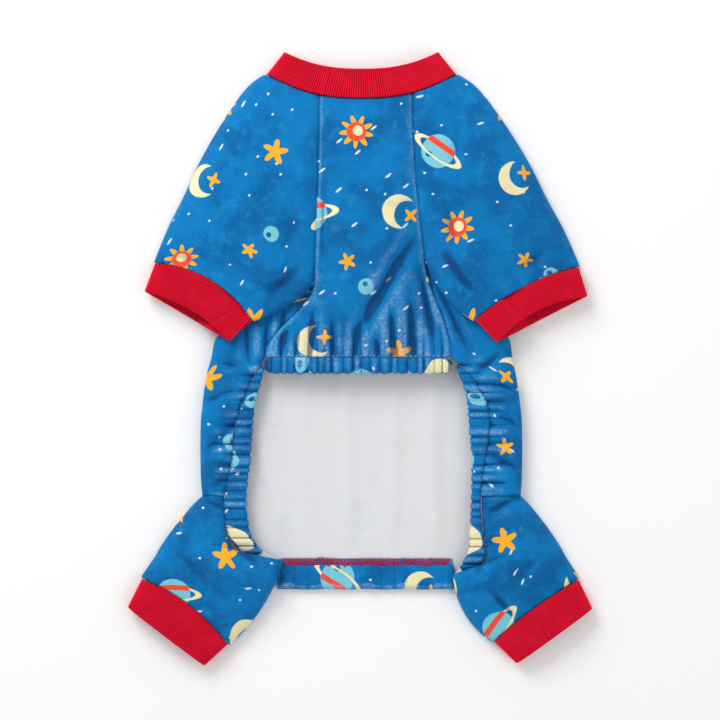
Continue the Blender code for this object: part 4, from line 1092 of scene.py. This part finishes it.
def printOn(node, base):
    # lays the motifs over a base colour, from the flat pattern of the cloth
    edge, cell, rowHeight = printed["edge"], printed["cell"], printed["cell"] * printed["rowShare"]
    uv = node("UVMap", uv_map="cloth")
    wander = node("TexNoise", {"Vector": uv, "Scale": 1 / printed["wanderWidth"], "Detail": 1.0},
                  out="Color")
    wander = node("VectorMath", wander, (0.5, 0.5, 0.5), operation="SUBTRACT")
    wander = node("VectorMath", {0: wander, "Scale": printed["wander"]}, operation="SCALE")
    u, v, _ = node("SeparateXYZ", node("VectorMath", uv, wander, operation="ADD")).node.outputs

    def gridOf(wide, high, drop, name):
        # the cell at each point, the place in it from 0 to 1, and its own three chances
        along = node("DIVIDE", v, high)
        row = node("FLOOR", along)
        odd = node("MODULO", node("ABSOLUTE", row), 2.0)
        across = node("ADD", node("DIVIDE", u, wide), node("MULTIPLY", odd, drop))
        column = node("FLOOR", across)
        chance = node("TexWhiteNoise", node("CombineXYZ", column, row, name), out="Color",
                      noise_dimensions="3D")
        picks = node("SeparateXYZ", chance).node.outputs
        return column, row, node("SUBTRACT", across, column), node("SUBTRACT", along, row), picks

    def distance(dx, dy):
        return node("SQRT", node("ADD", node("MULTIPLY", dx, dx), node("MULTIPLY", dy, dy)))

    def soft(value, low, high):
        return node("MapRange", value, low, high, interpolation_type="SMOOTHSTEP")

    # which motif comes from the place in a repeat of five, so like ones keep apart
    column, row, inX, inY, picks = gridOf(cell, rowHeight, 0.5, 3.7)
    which = node("FLOORED_MODULO", node("ADD", column, node("MULTIPLY", row, 2.0)), 5.0)
    localX = node("SUBTRACT", node("MULTIPLY", node("SUBTRACT", inX, 0.5), cell),
                  node("MULTIPLY_ADD", picks[1], 0.014, -0.007))
    localY = node("SUBTRACT", node("MULTIPLY", node("SUBTRACT", inY, 0.5), rowHeight),
                  node("MULTIPLY_ADD", picks[2], 0.012, -0.006))
    angle = node("MULTIPLY_ADD", picks[0], 1.7, -0.85)
    sine, cosine = node("SINE", angle), node("COSINE", angle)
    x = node("ADD", node("MULTIPLY", localX, cosine), node("MULTIPLY", localY, sine))
    y = node("SUBTRACT", node("MULTIPLY", localY, cosine), node("MULTIPLY", localX, sine))

    def shape(cx, cy, radius, points=0, sharpness=0.0):
        dx, dy = node("SUBTRACT", x, cx * mm), node("SUBTRACT", y, cy * mm)
        gap = distance(dx, dy)
        if not points:
            return soft(gap, radius * mm + edge, radius * mm - edge)
        turn = node("MULTIPLY", node("ARCTAN2", dy, dx), float(points))
        wave = node("MULTIPLY_ADD", node("COSINE", turn), 0.5, 0.5)
        reach = node("MULTIPLY_ADD", node("POWER", wave, sharpness), radius * 0.58 * mm,
                     radius * 0.42 * mm)
        return soft(node("SUBTRACT", reach, gap), -edge, edge)

    # white specks, the longer ones slanted
    _, _, inX, inY, luck = gridOf(printed["dotCell"], printed["dotCell"], 0.0, 9.1)
    dx = node("SUBTRACT", inX, node("MULTIPLY_ADD", luck[0], 0.6, 0.2))
    dy = node("SUBTRACT", inY, node("MULTIPLY_ADD", luck[1], 0.6, 0.2))
    slim = node("MULTIPLY_ADD", node("GREATER_THAN", luck[0], 0.62), -0.62, 1.0)
    leanX = node("MULTIPLY", node("ADD", dx, dy), node("MULTIPLY", slim, 0.72))
    leanY = node("SUBTRACT", dy, node("MULTIPLY", dx, 0.8))
    rare = node("GREATER_THAN", luck[2], 1 - printed["dotShare"])
    speck = node("MULTIPLY", soft(distance(leanX, leanY), 0.098, 0.070), rare)

    # a ringed planet, the near half of its ring in front of it, and a crescent moon
    reach = distance(x, node("MULTIPLY", y, 3.4))
    ring = node("MULTIPLY", soft(reach, 0.0215, 0.0208), soft(reach, 0.0160, 0.0167))
    ball = shape(0.0, 0.0, 12.5)
    offBand = node("ABSOLUTE", node("SUBTRACT", y, 0.0050))
    band = node("MULTIPLY", ball, soft(offBand, 0.0024, 0.0019))
    nearRing = node("MULTIPLY", ring, node("LESS_THAN", y, 0.0))
    crescent = node("MULTIPLY", ball, node("SUBTRACT", 1.0, shape(6.2, 3.0, 10.4)))
    motifs = [(0, "cream", ring), (0, "aqua", ball), (0, "coral", band),
              (0, "deep", shape(-4.2, -5.8, 2.3)), (0, "cream", nearRing), (1, "cream", crescent)]
    motifs += [(kind, code, shape(*size)) for kind, code, *size in printed["motifs"]]
    layers = [(node("MULTIPLY", speck, 0.85), "white")]
    for kind, code, share in motifs:
        here = node("COMPARE", which, float(kind), 0.25)
        layers.append((node("MULTIPLY", share, here), code))
    for share, code in layers:
        base = node("Mix", {0: share, 6: base, 7: colour(printed[code])}, data_type="RGBA", out=2)
    return base


# polyester fleece, printed: a dull short pile, brushed darker and paler in patches,
# painted pale along its ridges as highlight and rubbed pile, and painted dark in its valleys as
# shade
printedFleece, node, shader = newMaterial("printed fleece", printed["blue"], 0.86, 0.35)
patches, brushed, wearAndHighlight, pile = grainsOf(node, "patches", "brushed", "wearAndHighlight", "pile")
crest = node("Attribute", out="Fac", attribute_name="crest")
base = layered(node, colour(printed["deep"]), [
    (patches, 0.38, 0.60, 1.0, printed["blue"]), (brushed, 0.50, 0.72, 0.55, printed["pale"])])
# painted highlight, partly rubbed pile: pale blue on the relief's ridges, broken into specks
ridge = node("MULTIPLY",
             node("MapRange", crest, 0.20, 1.0, interpolation_type="SMOOTHSTEP"),
             node("MapRange", wearAndHighlight, 0.42, 0.66, 0.3, 1.0, interpolation_type="SMOOTHSTEP"))
# painted shade: dark blue laid where the relief sinks below its neighbours, in the valleys of folds
# and gathers
look = layered(node, printOn(node, base), [(crest, -0.10, -0.90, 0.75, "#052C5E")])
# lays the painted highlight, partly rubbed pile, on the ridges
look = node("Mix", {0: node("MULTIPLY", ridge, 0.50), 6: look, 7: colour("#9CC9EA")},
            data_type="RGBA", out=2)
look = layered(node, look, [(pile, 0.55, 0.25, 0.20, "#063A78")])
surfaced(node, shader, look, node("MULTIPLY_ADD", brushed, 0.8, pile), 0.55, 0.4)
shader.inputs["Sheen Roughness"].default_value = 0.45
shader.inputs["Sheen Tint"].default_value = colour("#4FA6E6")

# doubled cotton rib, painted deeper red between its ribs as shade and brighter red
# on their tops as highlight: they are built, and only the stitches are in the bump
ribKnit, node, shader = newMaterial("doubled rib knit", "#D8102E", 0.82, 0.25)
tone, stitch = grainsOf(node, "ribTone", "stitch")
crest = node("Attribute", out="Fac", attribute_name="crest")
# painted shade and highlight: dark red in the grooves between the ribs, bright red on their tops
look = layered(node, colour("#A30018"), [
    (crest, -0.9, 0.5, 1.0, "#EC0834"), (tone, 0.45, 0.7, 0.3, "#E81A3C")])
surfaced(node, shader, look, stitch, 0.4, 0.3)

# brushed back of the fleece: matt white fuzz, a little of the print showing through
insideKnit, node, shader = newMaterial("brushed inside of the fleece", "#DCDCDE", 0.92, 0.2)
fuzz, tone = grainsOf(node, "fuzz", "insideTone")
through = node("Mix", {0: 0.93, 6: printOn(node, colour("#DEDFE2")), 7: colour("#DFE0E3")},
               data_type="RGBA", out=2)
look = layered(node, through, [
    (fuzz, 0.45, 0.75, 0.10, "#B9BBC2"), (tone, 0.5, 0.75, 0.10, "#C4C6CE")])
surfaced(node, shader, look, fuzz, 0.35, 0.3)
print("materials ready")

bellyPanel = finishPiece(makeBelly(), ["belly_panel"], "fleece", printedFleece, insideKnit)
backPanel = finishPiece(makeBack(), ["back_panel"], "fleece", printedFleece, insideKnit)
bellyCasing = finishPiece(makeBellyCasing(), ["belly_casing"], "fleece", printedFleece)
tailHem = finishPiece(makeHem(), ["tail_hem"], "fleece", printedFleece, insideKnit)
neckCollar = finishPiece(makeCollar(), ["neck_collar"], "rib", ribKnit)
print("body ready")

for label, side, seed in (("left", -1, 41.0), ("right", 1, 57.0)):
    shoulder, armpit, sleeveOuter, sleeveInner = sleevePoints(side)
    hip, crotch, legOuter, legInner = legPoints(side)
    sideCasing = makeSideCasing("side-casing-" + label, side)
    oneSleeve = makeSleeve("sleeve-" + label, side, seed)
    oneLeg = makeLeg("leg-" + label, side, seed + 7)
    front = makeCuff("front-cuff-" + label, side, (sleeveOuter, sleeveInner), armpit, frontCuff,
                     sleeve["cuffLoft"],
                     lambda x, y: underarmGround(side, 1.0, x, y) - cloth["fleece"] / 2)
    rear = makeCuff("rear-cuff-" + label, side, (legOuter, legInner), crotch, hindCuff,
                    hindCuff["loft"], lambda x, y: 0.0)
    finishPiece(sideCasing, ["side_casing_" + label], "fleece", printedFleece)
    finishPiece(oneSleeve, ["sleeve_" + label], "fleece", printedFleece, insideKnit)
    finishPiece(oneLeg, ["leg_" + label], "fleece", printedFleece, insideKnit)
    finishPiece(front, ["front_cuff_" + label], "rib", ribKnit)
    finishPiece(rear, ["rear_cuff_" + label], "rib", ribKnit)
    print("limbs ready:", label)

# sewing

thread = {
    "stitch": 0.0023, "gap": 0.0011, "radius": 0.00024, "lift": 0.00025,
    "inset": 0.0006,  # from the waist's stitches to its casing
    "serge": 0.0021,  # distance from one overlock stitch to the next
    "sergeWidth": 0.0062, "sergeRadius": 0.00030,
    # each overlock thread: slant, where its first loop starts, height in millimetres
    "red": ((1.6, 0.0, 0.45), (-0.4, 0.5, 0.30), (0.9, 0.25, 0.60)),
    "navy": ((-1.5, 0.3, 0.55), (0.2, 0.75, 0.35)),
    "fibres": {-1: 130, 1: 60}, "fibreRadius": 0.00007,
}


def stitchesAlong(path, lift):
    # dashes along a line given as a function of the distance, which ends with None
    lines, at = [], 0.002
    while path(at + thread["stitch"]) is not None:
        a, b = np.array(path(at)), np.array(path(at + thread["stitch"]))
        middle = (a + b) / 2
        a[2], b[2], middle[2] = a[2] + lift * 0.4, b[2] + lift * 0.4, middle[2] + lift
        lines.append([a, middle, b])
        at += thread["stitch"] + thread["gap"]
    return lines


def waistPath(along):
    left, right = -casingX(-1, body["waistDown"], 0), casingX(1, body["waistDown"], 0)
    x = left + along
    if x > right - 0.002:
        return None
    across = x / (right if x > 0 else -left)
    z = waistHeight(x) + waistRipple(x, across) + cloth["fleece"] / 2
    return x, -body["waistDown"] + thread["inset"], z


def casingPath(side):
    def path(along):
        down = casing["start"] * body["length"] + 0.006 + along
        if down > (casing["end"][side] - 0.03) * body["length"]:
            return None
        x = casingX(side, down, 1) - 0.8 * mm
        rise = casing["gather"] * 0.5 * gatherWave(down, casing["sideSeed"] + side)
        return side * x, -down, lipHeight(side, down) + casing["thickness"] * 0.36 + rise
    return path


# spun polyester threads, a little glossier than the fleece, and matt loose fibres
threadWhite = newMaterial("pale polyester sewing thread", "#A9CDEB", 0.6)[0]
threadBlue = newMaterial("blue polyester sewing thread", "#0B4F92", 0.6)[0]
threadRed = newMaterial("red polyester overlock thread", "#CC1838", 0.6)[0]
threadNavy = newMaterial("navy polyester overlock thread", "#24408F", 0.6)[0]
rawEdge = newMaterial("raw edge of printed fleece", "#6E86B4", 0.9)[0]
looseFibre = newMaterial("loose pile fibres", "#CFE3F2", 0.9)[0]

stitches = stitchesAlong(waistPath, thread["lift"])
finishPiece(threadMesh("waist-stitches", stitches, thread["radius"]), [], "fleece", threadWhite)
for label, side in (("left", -1), ("right", 1)):
    stitches = stitchesAlong(casingPath(side), thread["lift"])
    run = threadMesh("casing-stitches-" + label, stitches, thread["radius"])
    finishPiece(run, [], "fleece", threadBlue)


def overlockLines(slant, start, height):
    # one thread of the overlock: slanted loops over the raw edge of the hem
    count = int((hipX(-1, body["length"]) + hipX(1, body["length"]) - 0.006) / thread["serge"])
    left, top = -hipX(-1, body["length"]) + 0.003, -body["length"] + hem["depth"] - 0.0012
    base = cloth["fleece"] * 2 + cloth["layerGap"] + 0.25 * mm
    lines = []
    for k in range(count):
        x = left + (k + start) * thread["serge"]
        wave = max(0.0, hemWave(x)) * 0.4
        wobble = noise.noise(Vector((x / 0.005, start * 5, 1.0))) * 1.1 * mm
        wobble += noise.noise(Vector((x / 0.021, 2.0, 1.0))) * 1.4 * mm
        line = []
        for t in (0.0, 0.25, 0.5, 0.75, 1.0):
            sag = base * (1 - 0.42 * t) + wave + height * mm * math.sin(math.pi * t)
            y = top + thread["sergeWidth"] * t + wobble
            line.append((x + slant * thread["serge"] * t, y, sag))
        lines.append(line)
    return lines


for key, slot, material in (("red", "rib", threadRed), ("navy", "fleece", threadNavy)):
    loops = [line for look in thread[key] for line in overlockLines(*look)]
    finishPiece(threadMesh("overlock-" + key, loops, thread["sergeRadius"]), [], slot, material)


def makeSergedEdge():
    # the raw edge of the hem, under the overlock
    columns, rows = 120, 6
    grid = np.zeros((rows + 1, columns + 1, 3))
    for r in range(rows + 1):
        t = r / rows
        for c in range(columns + 1):
            left, right = -hipX(-1, body["length"]) + 2 * mm, hipX(1, body["length"]) - 2 * mm
            x = mix(left, right, c / columns)
            wave = max(0.0, hemWave(x)) * 0.4
            top = -body["length"] + hem["depth"] + 0.2 * mm
            z = (cloth["fleece"] * 1.5 + cloth["layerGap"]) * (1 - 0.42 * t) + wave * 0.5
            grid[r, c] = x, top + (thread["sergeWidth"] - 1.6 * mm) * t, z
    flat = grid[..., :2] + np.array([0.4, 0.3])
    return clothObject("serged-edge", grid, flat, 0.0010, crest=np.zeros(grid.shape[:2]))


finishPiece(makeSergedEdge(), [], "fleece", rawEdge)


def fibreLines(side, seed, count):
    # loose fibres that stand up along the seam between a sleeve and its cuff
    shoulder, armpit, outer, inner = sleevePoints(side)
    backUp = -acrossFrom(outer, inner, armpit)
    lines = []
    for k in range(count):
        r1 = noise.cell(Vector((k * 1.7, seed, 0.5)))
        r2 = noise.cell(Vector((k * 2.3, seed, 8.5)))
        s = mix(0.08, 0.94, (k + 0.6 * r1) / count)
        bow = frontCuff["bow"][side] * 4 * s * (1 - s)
        spot = outer + (inner - outer) * s + backUp * (bow + (0.3 + 1.0 * abs(r2)) * mm)
        rounded = (1 - (1 - s) ** 2.4) ** (1 / 2.4) * (1 - s**2.8) ** (1 / 2.2)
        z = mix(3.0 * mm, sleeve["cuffLoft"], rounded) + 0.5 * mm
        way = unit(np.array([r1, r2, 0.9]))
        reach = (0.9 + 1.1 * abs(r2)) * mm
        a = np.array([side * spot[0], spot[1], z])
        tip = way + np.array([r2, -r1, -0.4]) * 0.4
        lines.append([a, a + way * reach * 0.5, a + tip * reach])
    return lines


for label, side in (("left", -1), ("right", 1)):
    lines = fibreLines(side, 3.0 + side, thread["fibres"][side])
    fibres = threadMesh("loose-fibres-" + label, lines, thread["fibreRadius"], sides=4)
    finishPiece(fibres, [], "fleece", looseFibre)
print("sewing ready")

# floor, light and camera

studio = {
    "floor": "#FBFBFB", "floorSize": 6.0,
    # name, place, size of the panel and power of each light
    "lights": (
        ("main light", (-0.75, 1.05, 1.0), 0.8, 15), ("fill light", (1.1, -0.6, 1.4), 1.4, 4),
    ),
    "air": "#FFFFFF", "airStrength": 0.66,
    "lens": 133.3, "sensor": 36.0, "eye": (0.0, -0.0011, 2.0),  # straight down
}

bpy.ops.object.select_all(action="DESELECT")
bpy.ops.mesh.primitive_plane_add(size=studio["floorSize"], location=(0, 0, 0))
floor = bpy.context.object
floor.name = "floor"
# matt white board, so that only soft shadows show on it
floor.data.materials.append(newMaterial("white ground", studio["floor"], 0.9)[0])
floor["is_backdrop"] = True

for name, place, size, power in studio["lights"]:
    panel = bpy.data.lights.new(name, "AREA")
    panel.size = size
    panel.energy = power
    light = bpy.data.objects.new(name, panel)
    bpy.context.scene.collection.objects.link(light)
    light.location = place
    light.rotation_euler = (-Vector(place)).to_track_quat("-Z", "Y").to_euler()

world = bpy.data.worlds.new("studio")
bpy.context.scene.world = world
world.use_nodes = True
air = world.node_tree.nodes["Background"]
air.inputs["Color"].default_value = colour(studio["air"])
air.inputs["Strength"].default_value = studio["airStrength"]

cameraData = bpy.data.cameras.new("camera")
cameraData.lens = studio["lens"]
cameraData.sensor_width = studio["sensor"]
camera = bpy.data.objects.new("camera", cameraData)
bpy.context.scene.collection.objects.link(camera)
camera.location = studio["eye"]
camera.rotation_euler = (0.0, 0.0, 0.0)
bpy.context.scene.camera = camera
bpy.context.scene.view_settings.view_transform = "Standard"
print("stage ready")

for key, box in (("cad", cadBox), ("visual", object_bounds())):
    [list(map(float, corner)) for corner in box]
